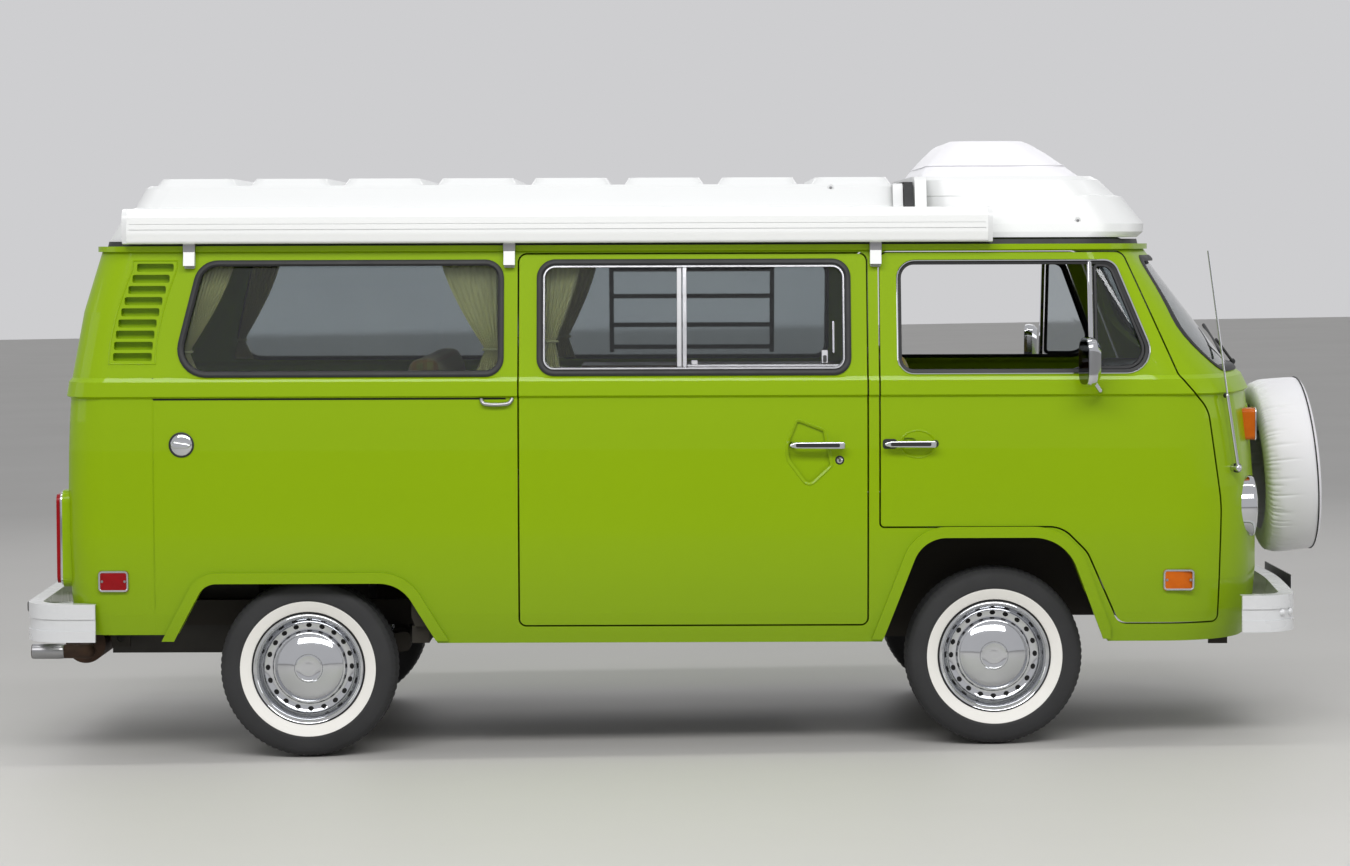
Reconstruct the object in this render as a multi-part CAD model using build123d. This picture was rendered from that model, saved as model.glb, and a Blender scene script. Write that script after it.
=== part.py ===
from build123d import *
import math
import os

os.makedirs("parts", exist_ok=True)

# Camper van with a forward cab, an engine at the tail, a lifting plastic roof and a side awning.
# All sizes in millimetres, all angles in degrees.
# +X points to the nose, +Y to the left side, +Z up. Z = 0 is the ground.
# The body is drawn level, and is then pitched nose-down by RAKE about the Y axis.

# ------------------------------------------------------------------ driving sizes
RAKE = 0.8
WALL = 45.0                     # whole thickness of a body side, door or tail wall
DOOR_GAP = 6.0                  # slit round a door or lid
SEAT_GAP = 1.0                  # room between parts that only lie against each other

FRONT_AXLE_X = 1067.0
WHEELBASE = 2400.0
REAR_AXLE_X = FRONT_AXLE_X - WHEELBASE
FRONT_TRACK = 1395.0
REAR_TRACK = 1455.0
TYRE_RADIUS = 312.0
TYRE_WIDTH = 186.0
RIM_RADIUS = 182.0
RIM_LIP = 10.0

GUTTER_Z = 1749.0
GUTTER_HEIGHT = 19.0
GUTTER_REACH = 14.0
BELT_TOP_Z = 1312.0
BELT_LOW_Z = 1240.0
BELT_STEP = 7.0
SILL_Z = 386.0

# Body sections: height, half width, nose x, nose plan radius, nose corner radius, tail x.
BODY_SECTIONS = [
    (SILL_Z, 838, 2045, 2000, 330, -2150),
    (430, 845.5, 2057, 2000, 330, -2166),
    (490, 852, 2067, 2000, 330, -2179),
    (600, 857, 2076, 2000, 330, -2188),
    (760, 860, 2075, 1971, 327, -2191.5),
    (920, 861, 2067, 1932, 323.5, -2191.5),
    (1060, 859.5, 2056, 1898, 319.5, -2189),
    (1160, 855.5, 2046.5, 1847, 309.5, -2185),
    (BELT_LOW_Z, 857 - BELT_STEP, 2044 - BELT_STEP, 1800, 300, -2187.5 + BELT_STEP),
    (BELT_LOW_Z + 8, 862, 2049, 1800, 300, -2193),
    (BELT_TOP_Z - 14, 857, 2026, 1680, 290, -2186),
    (BELT_TOP_Z, 842, 2006, 1620, 280, -2176),
    (1540, 794, 1829.1, 1661.7, 240.9, -2138),
    (GUTTER_Z, 750, 1667, 1700, 205, -2078),
]
TAIL_RADIUS = 20000.0
TAIL_CORNER = 138.0


# ------------------------------------------------------------------ helpers
def block(x0, x1, y0, y1, z0, z1):
    """Box between two corners."""
    centre = ((x0 + x1) / 2, (y0 + y1) / 2, (z0 + z1) / 2)
    return Pos(*centre) * Box(x1 - x0, y1 - y0, z1 - z0)


def joined(*shapes):
    """All shapes as one."""
    result = shapes[0]
    for shape in shapes[1:]:
        result = result + shape
    return result


def rounded_face(points):
    """Closed outline with rounded corners from (x, y, z, radius) points."""
    places = [(x, y, z) for x, y, z, r in points]
    radii = [r for x, y, z, r in points]
    path = FilletPolyline(*places, radius=radii, close=True)
    return Face(Wire(path.edges()))


def side_prism(points, y0, y1, grow=0.0):
    """Outline of (x, z, radius) in side view, drawn out from y0 to y1."""
    face = rounded_face([(x, y0, z, r) for x, z, r in points])
    if grow:
        face = offset(face, amount=grow, kind=Kind.INTERSECTION).face()
    way = 1 if y1 > y0 else -1
    return extrude(face, amount=abs(y1 - y0), dir=(0, way, 0))


def tail_prism(points, x0, x1, grow=0.0):
    """Outline of (y, z, radius) in end view, drawn out from x0 to x1."""
    face = rounded_face([(x0, y, z, r) for y, z, r in points])
    if grow:
        face = offset(face, amount=grow, kind=Kind.INTERSECTION).face()
    way = 1 if x1 > x0 else -1
    return extrude(face, amount=abs(x1 - x0), dir=(way, 0, 0))


def plan_prism(points, z0, z1, grow=0.0):
    """Outline of (x, y, radius) in plan, drawn up from z0 to z1."""
    face = rounded_face([(x, y, z0, r) for x, y, r in points])
    if grow:
        face = offset(face, amount=grow, kind=Kind.INTERSECTION).face()
    return extrude(face, amount=z1 - z0, dir=(0, 0, 1))


def rod(start, end, radius):
    """Straight round bar."""
    a = Vector(*start)
    b = Vector(*end)
    bar = Solid.make_cylinder(radius, (b - a).length, Plane(origin=a, z_dir=(b - a)))
    return bar


def mirrored(shape):
    """The same piece on the other side of the van."""
    return mirror(shape, about=Plane.XZ)


def body_outline(z, half_width, nose_x, nose_radius, nose_corner, tail_x, inset=0.0):
    """Closed plan outline of the body: eight lines and arcs, the same in every section."""
    half = half_width - inset
    nose = nose_x - inset
    nose_r = nose_radius - inset
    corner = max(nose_corner - inset, 20)
    tail = tail_x + inset
    tail_r = TAIL_RADIUS - inset
    tail_c = max(TAIL_CORNER - inset, 20)
    fx = nose - nose_r + math.sqrt((nose_r - corner) ** 2 - (half - corner) ** 2)
    fy = half - corner
    rx = tail + tail_r - math.sqrt((tail_r - tail_c) ** 2 - (half - tail_c) ** 2)
    ry = half - tail_c
    a = math.atan2(fy, fx - (nose - nose_r))
    b = math.atan2(ry, tail + tail_r - rx)
    mid_a = (a + math.pi / 2) / 2
    mid_b = (b + math.pi / 2) / 2
    nose_end = (fx + corner * math.cos(a), fy + corner * math.sin(a))
    nose_mid = (fx + corner * math.cos(mid_a), fy + corner * math.sin(mid_a))
    tail_end = (rx - tail_c * math.cos(b), ry + tail_c * math.sin(b))
    tail_mid = (rx - tail_c * math.cos(mid_b), ry + tail_c * math.sin(mid_b))

    def at(point, side):
        return (point[0], side * point[1], z)

    side_front = (fx, half)
    side_rear = (rx, half)
    return Wire([
        Line(at(side_rear, -1), at(side_front, -1)),
        ThreePointArc(at(side_front, -1), at(nose_mid, -1), at(nose_end, -1)),
        ThreePointArc(at(nose_end, -1), (nose, 0, z), at(nose_end, 1)),
        ThreePointArc(at(nose_end, 1), at(nose_mid, 1), at(side_front, 1)),
        Line(at(side_front, 1), at(side_rear, 1)),
        ThreePointArc(at(side_rear, 1), at(tail_mid, 1), at(tail_end, 1)),
        ThreePointArc(at(tail_end, 1), (tail, 0, z), at(tail_end, -1)),
        ThreePointArc(at(tail_end, -1), at(tail_mid, -1), at(side_rear, -1)),
    ])


def body_solid(inset=0.0):
    """The closed form of the body from sill to gutter, drawn in by inset."""
    return Solid.make_loft([body_outline(*row, inset=inset) for row in BODY_SECTIONS], ruled=True)


def section_at(z):
    """Row of the body table at any height, between its two neighbours."""
    for low, high in zip(BODY_SECTIONS, BODY_SECTIONS[1:]):
        if low[0] <= z <= high[0]:
            t = (z - low[0]) / (high[0] - low[0])
            return tuple(a + t * (b - a) for a, b in zip(low, high))
    return BODY_SECTIONS[-1]


def skin_y(z):
    """Half width of the body at a height."""
    return section_at(z)[1]


def ring(z0, z1, out0, out1, inside):
    """Band round the top of the body between two heights, given by its insets from the gutter line."""
    top = BODY_SECTIONS[-1][1:]
    low = body_outline(z0, *top, inset=out0)
    high = body_outline(z1, *top, inset=out1)
    outer = Solid.make_loft([low, high], ruled=True)
    if inside is None:
        return outer
    hole = Solid.make_loft(
        [body_outline(z0 - 1, *top, inset=inside), body_outline(z1 + 1, *top, inset=inside)], ruled=True)
    return outer - hole


NODES = {}


def keep(name, shape, raked=True):
    """Store a node, pitched with the body unless it stands on the ground."""
    if raked:
        shape = Rot(0, RAKE, 0) * shape
    NODES[name] = shape


# ------------------------------------------------------------------ body walls
outer = body_solid()
inner = body_solid(WALL)
wall = outer - inner

# Side outlines, (x, z, corner radius).
SEAM_X = -1862.0                # joint between side panel and tail corner, below the belt
FAR = 3000.0
nose_split = [
    (1455, 300, 0), (1455, 440, 0), (1843, 440, 0), (1855, 860, 500), (1806, 1190, 120),
    (1700, BELT_TOP_Z, 60), (1520, 1742, 0), (1520, 1900, 0), (FAR, 1900, 0), (FAR, 300, 0),
]
tail_split = [
    (SEAM_X, 300, 0), (SEAM_X, BELT_TOP_Z, 0), (-1815, BELT_TOP_Z, 0), (-1742, 1900, 0),
    (-FAR, 1900, 0), (-FAR, 300, 0),
]
front_arch = [(640, 320, 0), (806, 750, 120), (1300, 750, 160), (1462, 320, 0)]
rear_arch = [(-1850, 300, 0), (-1690, 597, 70), (-1010, 597, 130), (-830, 300, 0)]
sliding_door_line = [(-597, 446, 25), (-597, 1738, 30), (616, 1738, 30), (616, 446, 25)]
cab_door_line = [
    (660, 790, 12), (660, 1738, 30), (1512, 1738, 40), (1692, BELT_TOP_Z, 60), (1800, 1190, 120),
    (1849, 860, 500), (1837, 452, 20), (1490, 452, 40), (1380, 700, 110), (1290, 790, 110),
]
HALF = 1100.0

nose = wall & side_prism(nose_split, -HALF, HALF)
tail = wall & side_prism(tail_split, -HALF, HALF)
side = wall - side_prism(nose_split, -HALF, HALF) - side_prism(tail_split, -HALF, HALF)
side_right = side & block(-FAR, FAR, -HALF, 0, 0, 2000)
side_left = side & block(-FAR, FAR, 0, HALF, 0, 2000)

WHEEL_WELL_RADIUS = 392.0
WHEEL_WELL_Y = 842.0
wells = []
for axle_x in (FRONT_AXLE_X, REAR_AXLE_X):
    for way in (-1, 1):
        inner_end = (axle_x, way * 400, TYRE_RADIUS)
        wells.append(rod(inner_end, (axle_x, way * WHEEL_WELL_Y, TYRE_RADIUS), WHEEL_WELL_RADIUS))

arch_cutters = [side_prism(front_arch, -HALF, HALF), side_prism(rear_arch, -HALF, HALF)]

cab_door_cut_right = side_prism(cab_door_line, -HALF, -400, grow=DOOR_GAP)
cab_door_cut_left = mirrored(cab_door_cut_right)
sliding_cut = side_prism(sliding_door_line, -HALF, -400, grow=DOOR_GAP / 2)

# Windows, (x, z, corner radius).
WINDOW_SEAL = 16.0
rear_window = [(-1800, 1318, 95), (-1706, 1714, 80), (-652, 1714, 60), (-652, 1318, 60)]
door_window = [(-528, 1320, 55), (-528, 1714, 60), (554, 1714, 60), (554, 1320, 55)]
cab_window = [(722, 1320, 55), (722, 1710, 60), (1476, 1710, 50), (1632, 1320, 80)]

window_cut_right = [side_prism(rear_window, -HALF, -400)]
window_cut_left = [side_prism(rear_window, HALF, 400), side_prism(door_window, HALF, 400)]

for cutter in wells + arch_cutters:
    side_right = side_right - cutter
    side_left = side_left - cutter
    nose = nose - cutter
    tail = tail - cutter
QUARTER_Z = 418.0               # lower edge of the body behind the rear wheels
under_quarter = block(-FAR, -1690, -HALF, HALF, 300, QUARTER_Z)
side_right = side_right - under_quarter
side_left = side_left - under_quarter
tail = tail - under_quarter
side_right = side_right - cab_door_cut_right - sliding_cut
side_left = side_left - cab_door_cut_left
nose = nose - cab_door_cut_right - cab_door_cut_left
for cutter in window_cut_right:
    side_right = side_right - cutter
for cutter in window_cut_left:
    side_left = side_left - cutter

# ------------------------------------------------------------------ doors in the sides
cab_door_right = wall & side_prism(cab_door_line, -HALF, -400)
sliding_door = (wall & side_prism(sliding_door_line, -HALF, -400, grow=-DOOR_GAP / 2))
cab_door_right = cab_door_right - side_prism(cab_window, -HALF, -400)
sliding_door = sliding_door - side_prism(door_window, -HALF, -400)

# Shallow hollows behind the door handles.
HOLLOW_DEPTH = 9.0
hollow_layer = body_solid(-1) - body_solid(HOLLOW_DEPTH)
sliding_hollow_line = [
    (368, 1165, 14), (467, 1126, 14), (472, 1094, 20), (492, 1003, 18),
    (408, 926, 26), (336, 1022, 60), (331, 1076, 60),
]
cab_hollow_line = [(729, 1056, 20.9), (729, 1098, 20.9), (785, 1098, 20.9), (785, 1056, 20.9)]
sliding_door = sliding_door - (hollow_layer & side_prism(sliding_hollow_line, -HALF, -400))
cab_door_right = cab_door_right - (hollow_layer & side_prism(cab_hollow_line, -HALF, -400))
cab_door_left = mirrored(cab_door_right)

# Glass panes are thin slices of the body wall, held in the middle of its thickness.
GLASS_OUT = 16.0
GLASS_THICK = 6.0
glass_shell = body_solid(GLASS_OUT) - body_solid(GLASS_OUT + GLASS_THICK)


def pane(points, side, grow=0.0):
    """Glass cut from the glass layer by a window outline."""
    return glass_shell & side_prism(points, side * HALF, side * 400, grow=grow)


side_glass = [pane(rear_window, -1), pane(rear_window, 1), pane(door_window, 1)]
sliding_glass = [pane(door_window, -1)]

# ------------------------------------------------------------------ tail: tailgate and engine lid
tailgate_line = [
    (-598, 1046, 70), (-612, 1300, 200), (-560, 1722, 70), (560, 1722, 70), (612, 1300, 200), (598, 1046, 70)]
tailgate_window = [(-520, 1322, 70), (-484, 1672, 70), (484, 1672, 70), (520, 1322, 70)]
engine_lid_line = [(-500, 596, 50), (-520, 930, 60), (520, 930, 60), (500, 596, 50)]
TAIL_IN = -1900.0
tailgate = wall & tail_prism(tailgate_line, -2400, TAIL_IN)
tailgate = tailgate - tail_prism(tailgate_window, -2400, TAIL_IN)
tailgate_glass = glass_shell & tail_prism(tailgate_window, -2400, TAIL_IN)
engine_lid = wall & tail_prism(engine_lid_line, -2400, TAIL_IN)
tail = tail - tail_prism(tailgate_line, -2400, TAIL_IN, grow=DOOR_GAP)
tail = tail - tail_prism(engine_lid_line, -2400, TAIL_IN, grow=DOOR_GAP)

# Air louvres in the tail pillars: nine slots in a column that bends back as it goes down.
LOUVRES = 9
LOUVRE_DEPTH = 30.0
LOUVRE_HEIGHT = 28.0
LOUVRE_CORNER = 7.0
LOUVRE_TOP_Z = 1694.0
LOUVRE_LOW_Z = 1385.0
for i in range(LOUVRES):
    t = i / (LOUVRES - 1)
    bend = 1 - (1 - t) ** 1.6
    z = LOUVRE_TOP_Z - t * (LOUVRE_TOP_Z - LOUVRE_LOW_Z)
    front_x = -1798 - 70 * bend
    back_x = -1926 - 77 * bend
    low = z - LOUVRE_HEIGHT / 2
    high = z + LOUVRE_HEIGHT / 2
    slot = side_prism([
        (back_x, low, LOUVRE_CORNER), (back_x, high, LOUVRE_CORNER),
        (front_x, high, LOUVRE_CORNER), (front_x, low, LOUVRE_CORNER)], skin_y(z) - LOUVRE_DEPTH, HALF)
    tail = tail - slot - mirrored(slot)

# ------------------------------------------------------------------ windscreen
screen_line = [(-800, 1320, 130), (-590, 1722, 90), (590, 1722, 90), (800, 1320, 130)]
screen_cut = tail_prism(screen_line, 1500, 2300)
nose = nose - screen_cut
windscreen = glass_shell & screen_cut

# ------------------------------------------------------------------ roof
ROOF_Z = GUTTER_Z + GUTTER_HEIGHT
SEAL_TOP_Z = 1785.0
LID_Z = 1791.0
gutter = ring(GUTTER_Z, ROOF_Z, -GUTTER_REACH, -GUTTER_REACH, None)
dome = joined(ring(ROOF_Z, 1784, 46, 75, None), ring(1784, 1806, 75, 130, None))
roof = gutter + dome
roof_hollow = joined(
    ring(GUTTER_Z - 1, ROOF_Z - 8, WALL, WALL, None), ring(ROOF_Z - 8, 1792, WALL + 30, 160, None))
ROOF_HOLE = (-1760, 690, 520)
roof_hole = plan_prism([
    (ROOF_HOLE[0], -ROOF_HOLE[2], 90), (ROOF_HOLE[1], -ROOF_HOLE[2], 90),
    (ROOF_HOLE[1], ROOF_HOLE[2], 90), (ROOF_HOLE[0], ROOF_HOLE[2], 90)], 1700, 1900)
roof = roof - roof_hollow - roof_hole
roof_seal = ring(ROOF_Z, SEAL_TOP_Z, 20, 24, 42)


def lid_row(z, x0, x1, half, radius):
    """Rounded rectangle in plan."""
    corners = [(x0, -half, z), (x1, -half, z), (x1, half, z), (x0, half, z)]
    path = FilletPolyline(*corners, radius=radius, close=True)
    return Wire(path.edges())


# Lifting roof: height, rear x, front x, half width, corner radius.
LID_FRONT_X = 752.0
LID_ROWS = [
    (LID_Z, -2045, LID_FRONT_X, 700, 120),
    (1896, -1986, LID_FRONT_X, 668, 110),
    (1904, -1962, LID_FRONT_X, 640, 100),
    (1972, -1928, LID_FRONT_X, 606, 100),
    (1981, -1914, LID_FRONT_X - 8, 592, 90),
]
LID_WALL = 12.0
lid = Solid.make_loft([lid_row(*row) for row in LID_ROWS], ruled=True)
lid_inside_rows = []
for z, x0, x1, half, radius in LID_ROWS:
    drop = LID_WALL if z > LID_Z else 1
    lid_inside_rows.append(lid_row(z - drop, x0 + LID_WALL, x1 - LID_WALL, half - LID_WALL, radius - LID_WALL))
lid_inside = Solid.make_loft(lid_inside_rows, ruled=True)
lid = lid - lid_inside
lid = lid - block(LID_FRONT_X - 150, LID_FRONT_X + 1, -686, 686, LID_Z - 1, 1812)
RIB_COUNT = 8
RIB_PITCH = 331.0
RIB_LENGTH = 282.0
RIB_HEIGHT = 25.0
for i in range(RIB_COUNT):
    x0 = -1885 + i * RIB_PITCH
    x1 = min(x0 + RIB_LENGTH, LID_FRONT_X - 20)
    rib = Solid.make_loft([
        lid_row(1980, x0, x1, 575, 40),
        lid_row(1981 + RIB_HEIGHT, x0 + 16, x1 - 16, 540, 40)], ruled=True)
    lid = lid + rib

# ------------------------------------------------------------------ luggage tray and its cover
TRAY_X = LID_FRONT_X + 38
tray_rows = [
    (LID_Z, TRAY_X, 1590, 700, 200),
    (1810, TRAY_X, 1612, 696, 195),
    (1838, TRAY_X, 1614, 688, 190),
    (1934, TRAY_X, 1537, 656, 165),
    (1938, TRAY_X, 1513, 655, 160),
    (1993, TRAY_X, 1455, 636, 150),
    (2006, TRAY_X, 1430, 618, 140),
]
tray = Solid.make_loft([lid_row(*row) for row in tray_rows], ruled=True)
tray_hollow = Solid.make_loft([
    lid_row(1850, TRAY_X + 40, 1500, 600, 120), lid_row(2007, TRAY_X + 20, 1415, 598, 120)], ruled=True)
under_tray = Solid.make_loft([
    lid_row(LID_Z - 1, TRAY_X + 15, 1572, 680, 180), lid_row(1835, TRAY_X + 15, 1585, 665, 170)], ruled=True)
tray = tray - tray_hollow - under_tray - dome
cover_rows = [
    (1852, TRAY_X + 45, 1490, 590, 110),
    (2000, TRAY_X + 25, 1400, 588, 110),
    (2045, TRAY_X + 55, 1345, 525, 110),
    (2092, TRAY_X + 95, 1285, 455, 105),
    (2125, TRAY_X + 128, 1233, 415, 100),
    (2138, TRAY_X + 148, 1203, 400, 95),
]
luggage_cover = Solid.make_loft([lid_row(*row) for row in cover_rows], ruled=True)

# ------------------------------------------------------------------ awning box on three brackets
AWNING_X = (-1966, 1048)
AWNING_GROOVES = (1824, 1843)
BRACKET_X = (-1741, -628, 646)
BRACKET_HALF = 19.5
awning_profile = [
    (-736, 1776, 18), (-815, 1776, 14), (-822, 1810, 30), (-818, 1876, 20), (-790, 1898, 25),
    (-736, 1898, 12)]
awning = tail_prism(awning_profile, AWNING_X[0], AWNING_X[1])
for z in AWNING_GROOVES:
    awning = awning - block(AWNING_X[0] + 22, AWNING_X[1] - 22, -830, -817, z - 2, z + 2)
for x in BRACKET_X:
    foot = block(x - BRACKET_HALF, x + BRACKET_HALF, -800, -766, 1700, 1777)
    foot = foot & (body_solid(-36) - body_solid(-2) + ring(GUTTER_Z, 1800, -36, -36, None))
    awning = awning + foot

# ------------------------------------------------------------------ floor, wheel housings, rails
FLOOR_Z = 470.0
FLOOR_THICK = 30.0
SEAT_BOX_Z = 790.0
DECK_Z = 905.0
plates = [
    block(-975, 630, -900, 900, FLOOR_Z - FLOOR_THICK, FLOOR_Z),
    block(600, 630, -900, 900, FLOOR_Z - FLOOR_THICK, SEAT_BOX_Z),
    block(600, 1492, -900, 900, SEAT_BOX_Z - FLOOR_THICK, SEAT_BOX_Z),
    block(1462, 1492, -900, 900, 480, SEAT_BOX_Z),
    block(1462, 2200, -900, 900, 480, 510),
    block(-975, -945, -900, 900, FLOOR_Z - FLOOR_THICK, DECK_Z),
    block(-2300, -945, -900, 900, DECK_Z - FLOOR_THICK, DECK_Z),
]
floor_pan = joined(*plates) & inner
for cutter in wells:
    floor_pan = floor_pan - cutter
DOOR_ROOM = 26.0                # the floor keeps this clear of the swinging cab doors
door_room = (inner - body_solid(WALL + DOOR_ROOM)) & block(655, 1900, -HALF, HALF, 300, 900)
floor_pan = floor_pan - door_room

# Ladder of rails, each a bar of its own: x from, x to, y of the rail, z from, z to.
RAIL_HALF = 30.0
REAR_RAIL_Y = 430.0
FRONT_RAIL_Y = 330.0
CROSS_X = (-945, -300, 300, 600)
CROSS_REACH = 780.0
RAIL_RUNS = [
    (-975, 1000, FRONT_RAIL_Y, 350, 440),
    (1000 + SEAT_GAP, 1960, FRONT_RAIL_Y, 425, 480),
    (-2090, -975 - SEAT_GAP, REAR_RAIL_Y, 410, 500),
]
chassis_rails = []
for x0, x1, y, z0, z1 in RAIL_RUNS:
    for way in (-1, 1):
        chassis_rails.append(block(x0, x1, way * y - RAIL_HALF, way * y + RAIL_HALF, z0, z1))
inside_y = FRONT_RAIL_Y - RAIL_HALF - SEAT_GAP
outside_y = FRONT_RAIL_Y + RAIL_HALF + SEAT_GAP
for x in CROSS_X:
    for y0, y1 in ((-CROSS_REACH, -outside_y), (-inside_y, inside_y), (outside_y, CROSS_REACH)):
        chassis_rails.append(block(x - 30, x + 30, y0, y1, 380, 440))

# ------------------------------------------------------------------ bumpers
def blade(front, bow, half, wrap_x, z_low, height, way):
    """Bumper as the difference of two curved plates."""
    solids = []
    for inset in (0, BUMPER_THICK, BAND_DEPTH, FLANGE_WIDTH):
        f = front - way * inset
        hw = half - inset
        w = wrap_x - (0 if inset == 0 else way * 1)
        pts = [(w, hw), (f - way * bow, hw), (f, 0), (f - way * bow, -hw), (w, -hw)]
        radii = [0, 150 - inset, 4000, 150 - inset, 0]
        face = rounded_face([(x, y, z_low, r) for (x, y), r in zip(pts, radii)])
        solids.append(extrude(face, amount=height, dir=(0, 0, 1)))
    plate = solids[0] - solids[1]
    skin = solids[0] - solids[2]
    plate = plate - (skin & block(-FAR, FAR, -HALF, HALF, z_low + BAND[0], z_low + BAND[1]))
    top = z_low + height
    flange = (solids[0] - solids[3]) & block(-FAR, FAR, -HALF, HALF, top - FLANGE_THICK, top)
    return plate + (flange - body_solid(-FLANGE_ROOM))


BUMPER_THICK = 16.0
BAND = (40, 80)                 # sunk middle band, heights over the lower edge
BAND_DEPTH = 5.0
FLANGE_WIDTH = 50.0
FLANGE_THICK = 4.0
FLANGE_ROOM = 6.0               # the flange keeps this clear of the body
FRONT_BUMPER = dict(front=2175, bow=70, half=874, wrap_x=1914, z_low=418, height=128, way=1)
REAR_BUMPER = dict(front=-2347, bow=30, half=882, wrap_x=-2067, z_low=396, height=132, way=-1)
front_bumper = blade(**FRONT_BUMPER)
rear_bumper = blade(**REAR_BUMPER)
STAY_HALF = 22.0
for way in (-1, 1):
    front_stay = block(1960, 2140, way * FRONT_RAIL_Y - STAY_HALF, way * FRONT_RAIL_Y + STAY_HALF, 432, 474)
    rear_stay = block(-2324, -2090, way * REAR_RAIL_Y - STAY_HALF, way * REAR_RAIL_Y + STAY_HALF, 432, 490)
    front_bumper = front_bumper + front_stay
    rear_bumper = rear_bumper + rear_stay
    nose = nose - front_stay
    tail = tail - rear_stay

# ------------------------------------------------------------------ spare wheel cover on the nose
SPARE_RADIUS = 324.0
SPARE_TILT = 5.0
spare_profile = [
    (0, 0), (260, 0), (SPARE_RADIUS - 8, 22), (SPARE_RADIUS, 60), (SPARE_RADIUS - 4, 167),
    (SPARE_RADIUS - 16, 187), (SPARE_RADIUS - 70, 200), (0, 210)]
spare_face = Face(Wire(Polyline(*[(r, 0, h) for r, h in spare_profile], close=True).edges()))
spare = revolve(spare_face, Axis.Z, 360)
spare = Pos(2096, 0, 938) * Rot(0, 90 - SPARE_TILT, 0) * spare

# ------------------------------------------------------------------ wheels and what carries them
def tyre(side_y, axle_x):
    """Closed ring: crown, shoulders, side walls and beads, from (radius, y) points."""
    w = TYRE_WIDTH / 2
    bead = 68
    half = [
        (RIM_RADIUS + BEAD_ROOM, bead - 4), (RIM_RADIUS + 14, bead), (RIM_RADIUS + 60, w),
        (TYRE_RADIUS - 26, w - 6), (TYRE_RADIUS - 6, w - 24)]
    profile = half + [(TYRE_RADIUS, 0)] + [(r, -y) for r, y in reversed(half)]
    points = [(axle_x, side_y + y, TYRE_RADIUS + r) for r, y in profile]
    return revolve(Face(Wire(Polyline(*points, close=True).edges())), wheel_axis(axle_x), 360)


def rim(side_y, axle_x, way):
    """Pressed steel rim with a drop centre, a dished disc and a domed hub cap."""
    r = RIM_RADIUS
    profile = [
        (r + RIM_LIP, -76), (r + RIM_LIP, -70), (r, -64), (r - 2, -40), (r - 14, -12), (r - 14, 20),
        (r - 2, 45), (r, 64), (r + RIM_LIP, 70), (r + RIM_LIP, 76), (r - 4, 74), (r - 10, 45), (r - 24, 24),
        (132, 16), (124, 36), (112, 42), (100, 48), (70, 60), (30, 68), (0, 70),
        (0, HUB_FACE_Y), (60, HUB_FACE_Y), (100, HUB_FACE_Y - 8), (112, 8),
        (r - 24, 2), (r - 24, -12), (r - 10, -45), (r - 4, -74)]
    points = [(axle_x, side_y + way * y, TYRE_RADIUS + radius) for radius, y in profile]
    return revolve(Face(Wire(Polyline(*points, close=True).edges())), wheel_axis(axle_x), 360)


def wheel_axis(axle_x):
    """Axle line of a wheel."""
    return Axis((axle_x, 0, TYRE_RADIUS), (0, 1, 0))


BEAD_ROOM = 0.3                 # tyre bore over the rim
HUB_FACE_Y = 40.0               # outboard face of the wheel's mounting, from the wheel's middle
WHEELS = [
    ("front_right", FRONT_AXLE_X, -FRONT_TRACK / 2, -1), ("front_left", FRONT_AXLE_X, FRONT_TRACK / 2, 1),
    ("rear_right", REAR_AXLE_X, -REAR_TRACK / 2, -1), ("rear_left", REAR_AXLE_X, REAR_TRACK / 2, 1),
]
for name, x, y, way in WHEELS:
    keep("tyre_" + name, tyre(y, x), raked=False)
    keep("rim_" + name, rim(y, x, way), raked=False)

KINGPIN_Y = 600.0
KINGPIN_RADIUS = 28.0
DRUM_RADIUS = 139.0
for name, way in (("right", -1), ("left", 1)):
    axle = [(FRONT_AXLE_X, way * y, TYRE_RADIUS) for y in
            (KINGPIN_Y, FRONT_TRACK / 2 + HUB_FACE_Y - SEAT_GAP, KINGPIN_Y + 30, KINGPIN_Y + 62)]
    upright = Pos(FRONT_AXLE_X, way * KINGPIN_Y, TYRE_RADIUS) * Cylinder(KINGPIN_RADIUS, 150)
    stub = rod(axle[0], axle[1], 34)
    drum = rod(axle[2], axle[3], DRUM_RADIUS)
    keep("knuckle_" + name, joined(upright, stub, drum), raked=False)


def to_body(x, z):
    """A point of the ground frame in the level body frame."""
    a = math.radians(RAKE)
    return x * math.cos(a) - z * math.sin(a), x * math.sin(a) + z * math.cos(a)


# Front beam: two cross tubes ahead of the axle and two trailing arms on each side.
axle_x, axle_z = to_body(FRONT_AXLE_X, TYRE_RADIUS)
BEAM_LEAD = 130.0
ARM_IN = 455.0
ARM_OUT = 490.0
beam_x = axle_x + BEAM_LEAD
beam = []
for z in (axle_z - 55, axle_z + 55):
    beam.append(rod((beam_x, -ARM_IN, z), (beam_x, ARM_IN, z), 30))
    for way in (-1, 1):
        arm = [
            (beam_x + 28, z + 22, 15), (beam_x + 28, z - 22, 15),
            (axle_x - 24, z - 15, 12), (axle_x - 24, z + 15, 12)]
        beam.append(side_prism(arm, way * ARM_IN, way * ARM_OUT))
        joint_y = KINGPIN_Y - KINGPIN_RADIUS - SEAT_GAP
        beam.append(rod((axle_x, way * ARM_IN, z), (axle_x, way * joint_y, z), 13))
for way in (-1, 1):
    y = way * FRONT_RAIL_Y
    beam.append(block(beam_x - 18, beam_x + 18, y - 28, y + 28, axle_z - 85, 425))
front_axle_beam = joined(*beam)

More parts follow.
